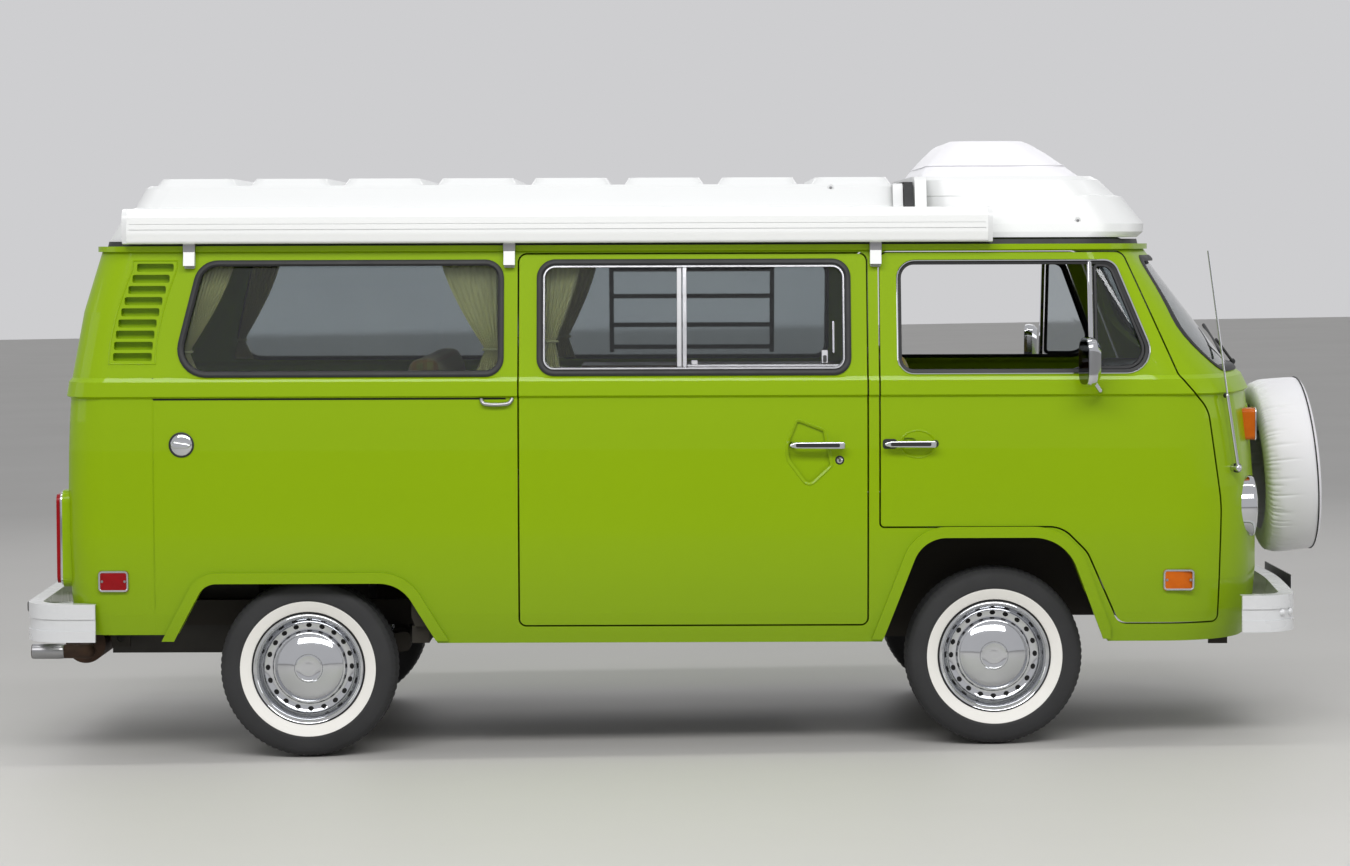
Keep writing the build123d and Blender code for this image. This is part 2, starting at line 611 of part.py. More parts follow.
# Rear: a cross tube ahead of the axle, trailing arms, half shafts and brake drums.
axle_x, axle_z = to_body(REAR_AXLE_X, TYRE_RADIUS)
tube_x = axle_x + 300
TUBE_Z = 365.0
rear = [rod((tube_x, -540, TUBE_Z), (tube_x, 540, TUBE_Z), 42)]
for way in (-1, 1):
    arm = [
        (tube_x + 40, TUBE_Z + 35, 20), (tube_x + 40, TUBE_Z - 35, 20),
        (axle_x - 60, axle_z - 35, 20), (axle_x - 60, axle_z + 40, 20)]
    rear.append(side_prism(arm, way * 530, way * 575))
    rear.append(rod((axle_x, way * 170, axle_z), (axle_x, way * (REAR_TRACK / 2 + HUB_FACE_Y - SEAT_GAP), axle_z), 24))
    rear.append(rod((axle_x, way * 570, axle_z), (axle_x, way * 660, axle_z), 134))
    rear.append(block(tube_x - 25, tube_x + 25, way * REAR_RAIL_Y - 28, way * REAR_RAIL_Y + 28, TUBE_Z, 410))
rear_suspension = joined(*rear)

# ------------------------------------------------------------------ raised lips round the wheel arches
LIP_WIDTH = 38.0
LIP_PROUD = 11.0
lip_layer = body_solid(-LIP_PROUD) - outer
for arch in (front_arch, rear_arch):
    lip = lip_layer & (side_prism(arch, -HALF, HALF, grow=LIP_WIDTH) - side_prism(arch, -HALF, HALF))
    lip = lip & block(-FAR, 1460, -HALF, HALF, 395, 900)
    side_right = side_right + (lip & block(-FAR, FAR, -HALF, 0, 0, 2000))
    side_left = side_left + (lip & block(-FAR, FAR, 0, HALF, 0, 2000))

# ------------------------------------------------------------------ lamps
HEADLAMP_Y = 590.0
HEADLAMP_Z = 838.0
HEADLAMP_X = 1988.0
HEADLAMP_RADIUS = 104.0
LENS_RADIUS = 88.0
lamp_back = body_solid(WALL - 10)
headlamps = []
for way in (-1, 1):
    y = way * HEADLAMP_Y
    ring_body = rod((1850, y, HEADLAMP_Z), (HEADLAMP_X, y, HEADLAMP_Z), HEADLAMP_RADIUS) - lamp_back
    lens_points = [(0, -1), (LENS_RADIUS, -1), (LENS_RADIUS, 4), (60, 15), (30, 21), (0, 23)]
    lens_profile = Polyline(*[(r, 0, HEADLAMP_X + h) for r, h in lens_points], close=True)
    lens = revolve(Face(Wire(lens_profile.edges())), Axis.Z, 360)
    lens = Pos(0, y, HEADLAMP_Z) * Rot(0, 90, 0) * lens
    headlamps.append(ring_body + lens)
    nose = nose - (rod((1850, y, HEADLAMP_Z), (2100, y, HEADLAMP_Z), HEADLAMP_RADIUS) - lamp_back)

# Amber lamps: nose indicators, and side markers that ride on the cab doors. Red lamps: tail lamps and rear markers.
marker_layer = body_solid(-10) - outer


def side_marker(x0, x1, z0, z1, way):
    """Small framed lamp on the body side, standing a little proud."""
    points = [(x0, z0, 12), (x0, z1, 12), (x1, z1, 12), (x1, z0, 12)]
    return marker_layer & side_prism(points, way * HALF, way * 400)


INDICATOR = dict(y0=428, y1=540, z0=1069, z1=1180)
TAIL_LAMP = dict(y0=645, y1=760, z0=591, z1=903, lens_x=-2218, pod_x=-2196, border=14)
amber_lamps = []
door_markers = []
tail_lamps = []
tail_pods = []
for way in (-1, 1):
    door_markers.append(side_marker(1640, 1748, 564, 638, way))
    low, high = sorted((way * INDICATOR["y0"], way * INDICATOR["y1"]))
    z0 = INDICATOR["z0"]
    z1 = INDICATOR["z1"]
    box_line = [(low, z0, 14), (low, z1, 14), (high, z1, 14), (high, z0, 14)]
    amber_lamps.append(tail_prism(box_line, 1900, 2014) - outer)
    tail_lamps.append(side_marker(-2057, -1952, 570, 644, way))
    low, high = sorted((way * TAIL_LAMP["y0"], way * TAIL_LAMP["y1"]))
    z0 = TAIL_LAMP["z0"]
    z1 = TAIL_LAMP["z1"]
    lamp_line = [(low, z0, 26), (low, z1, 26), (high, z1, 26), (high, z0, 26)]
    edge = TAIL_LAMP["border"]
    pod_line = [
        (low - edge, z0 - edge, 40), (low - edge, z1 + edge, 40), (high + edge, z1 + edge, 40),
        (high + edge, z0 - edge, 40)]
    tail_pods.append(tail_prism(pod_line, TAIL_LAMP["pod_x"], -2120) - outer)
    tail_lamps.append(tail_prism(lamp_line, TAIL_LAMP["lens_x"], TAIL_LAMP["pod_x"]))
for pod in tail_pods:
    tail = tail + pod

# ------------------------------------------------------------------ fresh-air grille in the nose
GRILLE_Z = (1082, 1186)
GRILLE_HALF = 405.0
grille_line = [
    (-GRILLE_HALF, GRILLE_Z[0], 30), (-GRILLE_HALF, GRILLE_Z[1], 30),
    (GRILLE_HALF, GRILLE_Z[1], 30), (GRILLE_HALF, GRILLE_Z[0], 30)]
grille_opening = tail_prism(grille_line, 1900, 2200)
grille = (body_solid(-4) - body_solid(12)) & grille_opening
GRILLE_SLOTS = 6
for i in range(GRILLE_SLOTS):
    z = GRILLE_Z[0] + 14 + (i + 0.5) * (GRILLE_Z[1] - GRILLE_Z[0] - 28) / GRILLE_SLOTS
    grille = grille - block(1900, 2200, -GRILLE_HALF + 25, GRILLE_HALF - 25, z - 4, z + 4)
nose = nose - grille_opening

# ------------------------------------------------------------------ cab: dashboard, wheel, seats
CAB_HALF = 780.0
dash_profile = [(1610, 1176, 20), (1596, 1268, 30), (1640, 1318, 30), (2100, 1318, 0), (2100, 1176, 0)]
dashboard = side_prism(dash_profile, -CAB_HALF, CAB_HALF) & body_solid(WALL + SEAT_GAP)
bulkhead = block(1905, 2100, -CAB_HALF + 60, CAB_HALF - 60, 510, 1176) & body_solid(WALL + SEAT_GAP)
dashboard = dashboard + (bulkhead - body_solid(WALL + 30))

DRIVER_Y = 380.0
WHEEL_CENTRE_X = 1388.0
WHEEL_CENTRE_Z = 1225.0
WHEEL_TILT = 24.0
HAND_RADIUS = 200.0
COLUMN_RADIUS = 24.0
column_length = (WHEEL_CENTRE_Z - 508) / math.cos(math.radians(WHEEL_TILT))
hand_ring = Solid.make_torus(HAND_RADIUS, 13)
spokes = joined(Box(30, 2 * HAND_RADIUS - 10, 12), Pos(HAND_RADIUS / -2, 0, 0) * Box(HAND_RADIUS - 8, 30, 12))
column = Pos(0, 0, -column_length / 2) * Cylinder(COLUMN_RADIUS, column_length)
steering_wheel = joined(hand_ring, spokes, Cylinder(46, 50), column)
steering_wheel = Pos(WHEEL_CENTRE_X, DRIVER_Y, WHEEL_CENTRE_Z) * Rot(0, -WHEEL_TILT, 0) * steering_wheel
steering_wheel = steering_wheel & block(0, FAR, -HALF, HALF, 510, 2000)

SEAT_HALF = 245.0
cushion_line = [(872, SEAT_BOX_Z, 20), (872, 905, 30), (1330, 935, 50), (1345, 850, 40), (1320, SEAT_BOX_Z, 20)]
back_line = [(760, SEAT_BOX_Z, 20), (664, 1395, 38), (760, 1405, 34), (868, SEAT_BOX_Z, 10)]
cab_seats = []
for way in (-1, 1):
    y = way * DRIVER_Y
    cushion = side_prism(cushion_line, y - SEAT_HALF, y + SEAT_HALF)
    back_rest = side_prism(back_line, y - SEAT_HALF, y + SEAT_HALF)
    cab_seats.append(cushion + back_rest)

# ------------------------------------------------------------------ camper furniture
BENCH_Z = 770.0
rear_bench = block(-944, -440, -640, 640, FLOOR_Z, BENCH_Z)
rear_bench = rear_bench - block(-925, -439, -300, 300, FLOOR_Z + 20, BENCH_Z - 90)
bench_seat = side_prism([(-944, BENCH_Z, 20), (-944, 885, 40), (-430, 900, 50), (-430, BENCH_Z, 30)], -640, 640)
bench_back = side_prism([(-944, DECK_Z + 1, 20), (-1010, 1385, 40), (-890, 1395, 40), (-790, DECK_Z + 1, 40)], -640, 640)
bench_back = bench_back - bench_seat
deck_pad = side_prism([(-2090, DECK_Z, 20), (-2090, 985, 30), (-1060, 1000, 30), (-1060, DECK_Z, 20)], -640, 640)
cupboard = block(-400, 560, 400, 770, FLOOR_Z, 1285)
CUPBOARD_DOORS = 3
for i in range(CUPBOARD_DOORS):
    x0 = -385 + i * 315
    cupboard = cupboard - block(x0, x0 + 295, 399, 408, 520, 1180)
cupboard = cupboard + block(-410, 570, 390, 775, 1285, 1308)

# Curtains hang close inside the glass: (window outline, x from, x to, side).
CURTAIN_THICK = 16.0
CURTAIN_ROOM = 8.0
curtain_layer = body_solid(WALL + CURTAIN_ROOM) - body_solid(WALL + CURTAIN_ROOM + CURTAIN_THICK)
CURTAINS = [
    (-1790, -1600, -1), (-870, -668, -1), (-1790, -1600, 1), (-870, -668, 1), (-520, -370, -1), (-520, -345, 1)]
curtains = []
for x0, x1, way in CURTAINS:
    low, high = sorted((way * HALF, way * 300))
    curtains.append(curtain_layer & block(x0, x1, low, high, 1326, 1724))

# ------------------------------------------------------------------ mirrors, aerial, wipers, vent windows
MIRROR_X = 1369.0
MIRROR_Y = 965.0
MIRROR_Z = 1362.0



def mirror_slice(x, width, height, radius):
    """Rounded outline across the mirror head, x ahead of its glass."""
    path = FilletPolyline(
        (x, -width / 2, -height / 2), (x, width / 2, -height / 2), (x, width / 2, height / 2), (x, -width / 2, height / 2),
        radius=radius, close=True)
    return Wire(path.edges())


MIRROR_TURN = 12.0
mirror_head = Solid.make_loft([
    mirror_slice(-20, 112, 167, 44), mirror_slice(-8, 118, 173, 46), mirror_slice(12, 112, 165, 46),
    mirror_slice(28, 80, 130, 38)], ruled=True)
mirror_head = Pos(MIRROR_X, -MIRROR_Y, MIRROR_Z) * Rot(0, 0, MIRROR_TURN) * mirror_head
arm_foot = (1425, -skin_y(1262) + 1, 1262)
arm_bend = (1412, -915, 1262)
mirror_right = joined(
    mirror_head, rod(arm_foot, arm_bend, 8), Pos(*arm_bend) * Sphere(8),
    rod(arm_bend, (MIRROR_X, -950, 1320), 8))
mirror_right = mirror_right - outer
vent_window_right = pane([(1404, 1334, 8), (1404, 1698, 8), (1470, 1698, 40), (1616, 1334, 70)], -1)

AERIAL_BASE = (1915, -760, 983)
AERIAL_CLIP = (1873, -778, 1237)
AERIAL_TIP = (1803, -778, 1742)
aerial = joined(
    rod((1880, -730, 983), AERIAL_BASE, 13), Pos(*AERIAL_BASE) * Sphere(13), rod(AERIAL_BASE, AERIAL_CLIP, 6),
    Pos(*AERIAL_CLIP) * Sphere(6), rod(AERIAL_CLIP, AERIAL_TIP, 3.5))
aerial = aerial - outer


def nose_point(y, z, off):
    """Point on the outside of the nose or windscreen, moved forward by off."""
    z_row, half, nose_x, radius, corner, tail_x = section_at(z)
    return (nose_x - radius + math.sqrt(radius ** 2 - y ** 2) + off, y, z)


wipers = []
for y in (-60, 560):
    foot = nose_point(y, 1322, 4)
    elbow = nose_point(y, 1332, 18)
    tip = nose_point(y - 240, 1420, 14)
    blade_a = nose_point(y - 390, 1378, 10)
    blade_b = nose_point(y - 60, 1468, 10)
    wiper = joined(rod(foot, elbow, 11), Pos(*elbow) * Sphere(11), rod(elbow, tip, 5), rod(blade_a, blade_b, 6))
    wipers.append(wiper - outer)

# ------------------------------------------------------------------ engine, gearbox, exhaust
power_unit = joined(block(-2090, -1560, -370, 370, 300, 800), block(-1560, -1180, -170, 170, 245, 560))
PIPE_Y = -540.0
PIPE_Z = 326.0
PIPE_RADIUS = 25.0
PIPE_BORE = 20.0
PIPE_END_X = -2350.0
silencer = rod((-2195, -330, 330), (-2195, 330, 330), 72)
down_pipes = [rod((-2150, y, 335), (-2089, y, 360), 22) for y in (-200, 200)]
tail_pipe = joined(
    rod((-2195, -325, 330), (-2150, PIPE_Y, PIPE_Z), 22), Pos(-2150, PIPE_Y, PIPE_Z) * Sphere(PIPE_RADIUS),
    rod((-2150, PIPE_Y, PIPE_Z), (PIPE_END_X, PIPE_Y, PIPE_Z), PIPE_RADIUS))
exhaust = joined(silencer, *down_pipes, tail_pipe)
exhaust = exhaust - rod((PIPE_END_X + 120, PIPE_Y, PIPE_Z), (PIPE_END_X - 5, PIPE_Y, PIPE_Z), PIPE_BORE)
exhaust = exhaust - power_unit

# Towing eyes: plates with a hole across the van, under the ends of two rails: x, y, z of the hole, rail above.
EYE_RADIUS = 15.0
EYE_PLATE = 14.0
TOW_EYES = [(1915, -FRONT_RAIL_Y, 350, 425 - SEAT_GAP), (-2050, -REAR_RAIL_Y, 362, 410 - SEAT_GAP)]
for x, y, z, top in TOW_EYES:
    plate = block(x - 34, x + 34, y - EYE_PLATE / 2, y + EYE_PLATE / 2, z - 32, top)
    chassis_rails.append(plate - rod((x, y - 20, z), (x, y + 20, z), EYE_RADIUS))

for name, shape in [
    ("nose_panel", nose), ("side_panel_right", side_right), ("side_panel_left", side_left), ("tail_panel", tail),
    ("roof_panel", roof), ("roof_seal", roof_seal), ("floor_pan", floor_pan),
    ("sliding_door", sliding_door), ("cab_door_right", cab_door_right), ("cab_door_left", cab_door_left),
    ("tailgate", tailgate), ("tailgate_glass", tailgate_glass), ("engine_lid", engine_lid),
    ("windscreen", windscreen), ("pop_top", lid), ("luggage_tray", tray), ("luggage_cover", luggage_cover),
    ("awning", awning), ("front_bumper", front_bumper), ("rear_bumper", rear_bumper), ("spare_wheel", spare),
    ("power_unit", power_unit), ("exhaust", exhaust), ("front_axle_beam", front_axle_beam),
    ("rear_suspension", rear_suspension), ("nose_grille", grille), ("dashboard", dashboard),
    ("steering_wheel", steering_wheel), ("rear_bench", rear_bench), ("bench_seat", bench_seat),
    ("bench_back", bench_back), ("deck_pad", deck_pad), ("cupboard", cupboard), ("aerial", aerial),
    ("mirror_right", mirror_right), ("mirror_left", mirrored(mirror_right)),
    ("vent_window_right", vent_window_right), ("vent_window_left", mirrored(vent_window_right)),
    ("side_marker_right", door_markers[0]), ("side_marker_left", door_markers[1]),
]:
    keep(name, shape)
for name, shapes in [
    ("side_glass", side_glass), ("sliding_door_glass", sliding_glass), ("headlamps", headlamps),
    ("amber_lamps", amber_lamps), ("tail_lamps", tail_lamps), ("cab_seats", cab_seats), ("curtains", curtains),
    ("wipers", wipers), ("chassis_rails", chassis_rails),
]:
    keep(name, Compound([solid for shape in shapes for solid in shape.solids()]))

for name, shape in NODES.items():
    export_step(shape, "parts/" + name + ".step")
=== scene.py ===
# %% [markdown]
# # A green camper van with a lifting roof
# We dress a finished mechanical model of a camper van: sheet steel body, white plastic roof,
# side awning, chromed wheels. The mechanical model is the frame. Everything here is placed
# around it, in metres, and rides on one of its moving bodies. This first cell loads the frame.

# %% Load the frame
import bpy
import bmesh
import math
import random
from mathutils import Matrix, Vector, noise
from mathutils.geometry import convex_hull_2d


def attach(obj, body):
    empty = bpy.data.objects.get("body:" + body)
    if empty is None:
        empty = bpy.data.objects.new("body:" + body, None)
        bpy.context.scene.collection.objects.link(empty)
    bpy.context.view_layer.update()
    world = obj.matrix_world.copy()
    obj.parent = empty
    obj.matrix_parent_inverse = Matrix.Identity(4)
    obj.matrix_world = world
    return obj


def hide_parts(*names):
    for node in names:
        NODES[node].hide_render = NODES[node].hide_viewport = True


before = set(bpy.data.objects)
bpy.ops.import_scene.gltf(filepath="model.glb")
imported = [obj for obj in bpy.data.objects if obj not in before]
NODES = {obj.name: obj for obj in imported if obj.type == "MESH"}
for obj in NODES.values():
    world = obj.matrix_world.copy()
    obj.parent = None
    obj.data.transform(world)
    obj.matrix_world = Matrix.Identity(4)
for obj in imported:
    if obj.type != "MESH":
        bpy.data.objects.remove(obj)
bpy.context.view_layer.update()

# %% [markdown]
# ## Measuring on the body
# The body is a pressed shell that leans inward above the belt and stands nose-down by a
# little under one degree. It is easiest to think in millimetres on the level body, so `row`
# turns such a point into the frame. `side_y` and `end_x` say where the painted skin is, from
# the same few sections that the panels were drawn from. Trim placed by them always lies on steel.

# %% Level body to frame, and the painted skin
MM = 0.001
RAKE = math.radians(0.8)
# Sections: height, half width, nose x, nose radius, nose corner, tail x.
SECTIONS = [
    (386, 838, 2045, 2000, 330, -2150), (430, 845.5, 2057, 2000, 330, -2166),
    (490, 852, 2067, 2000, 330, -2179), (600, 857, 2076, 2000, 330, -2188),
    (760, 860, 2075, 1971, 327, -2191.5), (920, 861, 2067, 1932, 323.5, -2191.5),
    (1060, 859.5, 2056, 1898, 319.5, -2189), (1160, 855.5, 2046.5, 1847, 309.5, -2185),
    (1240, 850, 2037, 1800, 300, -2180.5), (1248, 862, 2049, 1800, 300, -2193),
    (1298, 857, 2026, 1680, 290, -2186), (1312, 842, 2006, 1620, 280, -2176),
    (1540, 794, 1829.1, 1661.7, 240.9, -2138), (1749, 750, 1667, 1700, 205, -2078),
]
TAIL_RADIUS = 20000
TAIL_CORNER = 138
RIGHT = -1
LEFT = 1
SIDES = ((RIGHT, "right"), (LEFT, "left"))


def row(x, y, z):
    """A point of the level body in millimetres, as a point of the frame in metres."""
    c, s = math.cos(RAKE), math.sin(RAKE)
    return Vector((x * c + z * s, y, z * c - x * s)) * MM


def section(z):
    """The body's section at a height."""
    z = min(max(z, SECTIONS[0][0]), SECTIONS[-1][0])
    for low, high in zip(SECTIONS, SECTIONS[1:]):
        if low[0] <= z <= high[0]:
            t = (z - low[0]) / (high[0] - low[0])
            return [a + t * (b - a) for a, b in zip(low, high)]


def side_y(z):
    """Half width of the painted body."""
    return section(z)[1]


def end_x(y, z, nose=True):
    """Where the nose or the tail skin is at a place across the van."""
    _, half, nose_x, nose_r, nose_c, tail_x = section(z)
    radius, corner = (nose_r, nose_c) if nose else (TAIL_RADIUS, TAIL_CORNER)
    tip = nose_x if nose else -tail_x
    centre = tip - radius
    fx = centre + math.sqrt((radius - corner) ** 2 - (half - corner) ** 2)
    edge = (half - corner) * radius / (radius - corner)
    y = min(abs(y), half)
    if y <= edge:
        x = centre + math.sqrt(radius ** 2 - y ** 2)
    else:
        x = fx + math.sqrt(max(corner ** 2 - (y - half + corner) ** 2, 0))
    return x if nose else -x


def on_side(way):
    """Placing rule: (along the van, up, proud of the skin) on one side."""
    return lambda u, v, h: row(u, way * (side_y(v) + h), v)


def on_end(nose):
    """Placing rule: (across the van, up, proud of the skin) on the nose or the tail."""
    out = 1 if nose else -1
    return lambda u, v, h: row(end_x(u, v, nose) + out * h, u, v)


print("skin half width at the belt:", side_y(1240), "mm")

# %% [markdown]
# ## The camera
# The van is seen square from its right side, from nearly thirteen metres, at eye height, with
# a long lens, so that its lines stay parallel. The camera leans by one degree, as a hand-held
# one does. Nothing here depends on the picture's size.

# %% Camera


def put(name, data):
    """An object for the data, linked into the scene."""
    made = bpy.data.objects.new(name, data)
    bpy.context.scene.collection.objects.link(made)
    return made


LENS_MM = 91.2
SENSOR_MM = 36
EYE = Vector((-0.038, -12.69, 1.768))
LOOK_DOWN = math.atan(188 / 3420)
LEAN = math.radians(0.98)
forward = Vector((0, math.cos(LOOK_DOWN), -math.sin(LOOK_DOWN)))
right = Vector((1, 0, 0))
up = right.cross(forward)
right_leaned = right * math.cos(LEAN) - up * math.sin(LEAN)
up_leaned = up * math.cos(LEAN) + right * math.sin(LEAN)
camera_data = bpy.data.cameras.new("camera")
camera_data.lens = LENS_MM
camera_data.sensor_width = SENSOR_MM
camera = put("camera", camera_data)
turn = Matrix((right_leaned, up_leaned, -forward)).transposed()
camera.matrix_world = Matrix.Translation(EYE) @ turn.to_4x4()
bpy.context.scene.camera = camera
print("camera", round(EYE.length, 2), "m away, lens", LENS_MM, "mm")

# %% [markdown]
# ## Finishes
# A finish is a node material. Real paint, rubber and metal are never one flat colour: each
# `finish` mixes two close colours through a soft noise, spreads the roughness a little and
# adds a fine bump. A value that is the same all over is set straight on the shader's socket.


def srgb(r, g, b):
    """Colour as written 0 to 255, in linear light."""
    def lin(c):
        c /= 255
        return c / 12.92 if c <= 0.04045 else ((c + 0.055) / 1.055) ** 2.4
    return (lin(r), lin(g), lin(b), 1)


def add(tree, kind, links=(), **values):
    """One node with its values, wired to (input, socket) pairs."""
    node = tree.nodes.new(kind)
    for key, value in values.items():
        if hasattr(node, key):
            setattr(node, key, value)
        else:
            node.inputs[key.replace("_", " ")].default_value = value
    for name, socket in links:
        tree.links.new(socket, node.inputs[name])
    return node


def blend(tree, factor, under, over):
    """Mixes a colour over another colour, or over another node's socket, by a factor."""
    mix = add(tree, "ShaderNodeMix", [("Factor", factor)], data_type="RGBA")
    if isinstance(under, tuple):
        mix.inputs[6].default_value = under
    else:
        tree.links.new(under, mix.inputs[6])
    mix.inputs[7].default_value = over
    return mix.outputs[2]


def finish(name, colour, other=None, rough=0.5, spread=0.08, metal=0.0, size=3.0, bump=0.1, grain=90.0,
           grit=0.0005, **sockets):
    """A node material: two colours in soft patches, uneven roughness and a fine bump."""
    material = bpy.data.materials.new(name)
    material.use_nodes = True
    tree = material.node_tree
    skin = tree.nodes["Principled BSDF"]
    where = add(tree, "ShaderNodeTexCoord").outputs["Object"]
    patches = add(tree, "ShaderNodeTexNoise", [("Vector", where)], Scale=size, Detail=4.0)
    other = other or tuple(c * 0.86 for c in colour[:3]) + (1,)
    tree.links.new(blend(tree, patches.outputs["Fac"], colour, other), skin.inputs["Base Color"])
    worn = add(tree, "ShaderNodeMapRange", [("Value", patches.outputs["Fac"])],
               To_Min=max(rough - spread, 0.02), To_Max=min(rough + spread, 1.0))
    tree.links.new(worn.outputs[0], skin.inputs["Roughness"])
    fine = add(tree, "ShaderNodeTexNoise", [("Vector", where)], Scale=grain, Detail=3.0)
    bumps = add(tree, "ShaderNodeBump", [("Height", fine.outputs["Fac"])], Strength=bump, Distance=grit)
    tree.links.new(bumps.outputs["Normal"], skin.inputs["Normal"])
    skin.inputs["Metallic"].default_value = metal
    for key, value in sockets.items():
        skin.inputs[key.replace("_", " ")].default_value = value
    return material


# %% [markdown]
# ## Paint
# The body colour is a solid, bright yellow-green enamel under a clear gloss. The gloss is the
# coat of the shader, smooth and clear over a duller base, so that light slides along the flanks.
# A gradient by height mixes a darker, greyer green into the lowest part: painted shade, as the light falls
# from above.

# %% Body paint and whites
GREEN = srgb(141, 174, 2)
paint = finish("body_paint", GREEN, srgb(136, 169, 1), rough=0.4, spread=0.05, size=0.8, bump=0.03, grain=320,
               grit=0.0003, Specular_IOR_Level=0.08, Coat_Weight=0.26, Coat_Roughness=0.06)


def shade_low_down(material, shade_colour, start, end):
    """Mixes a darker colour in below a height: painted shade."""
    tree = material.node_tree
    skin = tree.nodes["Principled BSDF"]
    unshaded_colour = skin.inputs["Base Color"].links[0].from_socket
    where = add(tree, "ShaderNodeTexCoord").outputs["Object"]
    height = add(tree, "ShaderNodeSeparateXYZ", [("Vector", where)]).outputs["Z"]
    fade = add(tree, "ShaderNodeMapRange", [("Value", height)], From_Min=start, From_Max=end, To_Min=0.55,
               To_Max=0.0)
    tree.links.new(blend(tree, fade.outputs[0], unshaded_colour, shade_colour), skin.inputs["Base Color"])


# Painted shade: the body paint turns darker and greyer towards the bottom.
shade_low_down(paint, srgb(118, 146, 30), 0.35, 0.8)
plastic = finish("roof_plastic", srgb(224, 225, 225), srgb(217, 218, 218), rough=0.38, size=1.6, bump=0.25,
                 grain=260, grit=0.0004, Coat_Weight=0.25, Coat_Roughness=0.2)
vinyl = finish("white_vinyl", srgb(234, 234, 239), srgb(225, 223, 226), rough=0.5, size=4.0, bump=0.5,
               grain=420, grit=0.0006, Sheen_Weight=0.1)
awning_white = finish("white_aluminium", srgb(243, 244, 243), srgb(237, 238, 237), rough=0.3, size=1.2,
                      bump=0.05, Coat_Weight=0.5, Coat_Roughness=0.12)
bumper_white = finish("bumper_paint", srgb(226, 227, 230), srgb(212, 213, 214), rough=0.28, size=5.0,
                      bump=0.06, Coat_Weight=0.6, Coat_Roughness=0.08)
print("paint and whites ready")

# %% [markdown]
# ## Glass, rubber and metal
# The panes are thin solids of lightly smoked glass. Rubber is dark, never black, with a dry
# grain. Chrome is a metal whose roughness wanders a little where it has been wiped.

# %% Glass, rubber, metal and plastics
glass = finish("window_glass", (0.54, 0.58, 0.59, 1), (0.48, 0.52, 0.54, 1), rough=0.03, spread=0.01,
               bump=0.0, Transmission_Weight=1.0, IOR=1.45)
rubber = finish("black_rubber", srgb(30, 31, 33), srgb(18, 18, 19), rough=0.55, size=12, bump=0.3, grain=500)
tyre_black = finish("tyre_rubber", srgb(46, 46, 48), srgb(36, 36, 37), rough=0.72, size=7, bump=0.5,
                    grain=600)
white_wall = finish("white_rubber", srgb(246, 244, 240), srgb(238, 235, 229), rough=0.6, size=9, bump=0.2,
                    grain=400)
chrome = finish("chrome_trim", (0.64, 0.65, 0.67, 1), (0.54, 0.55, 0.57, 1), rough=0.07, spread=0.04, metal=1,
                size=9, bump=0.02)
steel = finish("brushed_steel", (0.40, 0.40, 0.41, 1), (0.32, 0.32, 0.33, 1), rough=0.32, metal=1, size=18,
               bump=0.2)
aluminium = finish("aluminium_frame", (0.58, 0.58, 0.60, 1), (0.48, 0.48, 0.50, 1), rough=0.22, metal=1,
                   size=14, bump=0.08)
underside = finish("underbody_paint", srgb(38, 36, 33), srgb(56, 50, 42), rough=0.85, size=5, bump=0.8,
                   grain=60)
engine_grey = finish("engine_metal", srgb(70, 68, 64), srgb(44, 42, 40), rough=0.6, metal=0.6, size=6,
                     bump=0.6)
rusty = finish("exhaust_steel", srgb(86, 62, 46), srgb(52, 42, 36), rough=0.7, metal=0.5, size=22, bump=0.8)
black_plastic = finish("black_plastic", srgb(26, 26, 27), srgb(18, 18, 19), rough=0.45, size=10, bump=0.3,
                       grain=700)
dark_hole = finish("shadow_black", srgb(9, 9, 9), srgb(6, 6, 6), rough=0.9, size=10, bump=0.1)
lamp_glass = finish("lamp_glass", (0.9, 0.92, 0.93, 1), (0.84, 0.86, 0.88, 1), rough=0.05, spread=0.02,
                    bump=0.0, Transmission_Weight=0.55, Coat_Weight=0.6)
amber = finish("amber_plastic", srgb(216, 108, 2), srgb(192, 88, 1), rough=0.35, size=40, bump=0.5, grain=700,
               Specular_IOR_Level=0.15, Coat_Weight=0.2)
red = finish("red_plastic", srgb(158, 2, 14), srgb(130, 1, 8), rough=0.35, size=40, bump=0.5, grain=700,
             Specular_IOR_Level=0.15, Coat_Weight=0.2)
print("metal, glass and plastics ready")

# %% [markdown]
# ## Cloth and wood
# The seat cloth is a yellow-green check: two sets of stripes that cross, made from the cosine
# of the place along and across. The cupboard is veneer, with a stretched noise for its grain.

# %% Check cloth, curtain cloth and veneer


def add_weave(material, pitch, strength):
    """A woven bump: two fine waves that cross."""
    tree = material.node_tree
    where = add(tree, "ShaderNodeTexCoord").outputs["Object"]
    waves = []
    for way in ("X", "Z"):
        waves.append(add(tree, "ShaderNodeTexWave", [("Vector", where)], bands_direction=way, Scale=pitch))
    both = add(tree, "ShaderNodeMath", [(0, waves[0].outputs["Fac"]), (1, waves[1].outputs["Fac"])],
               operation="ADD")
    bumps = add(tree, "ShaderNodeBump", [("Height", both.outputs[0])], Strength=strength, Distance=0.0006)
    tree.links.new(bumps.outputs["Normal"], tree.nodes["Principled BSDF"].inputs["Normal"])


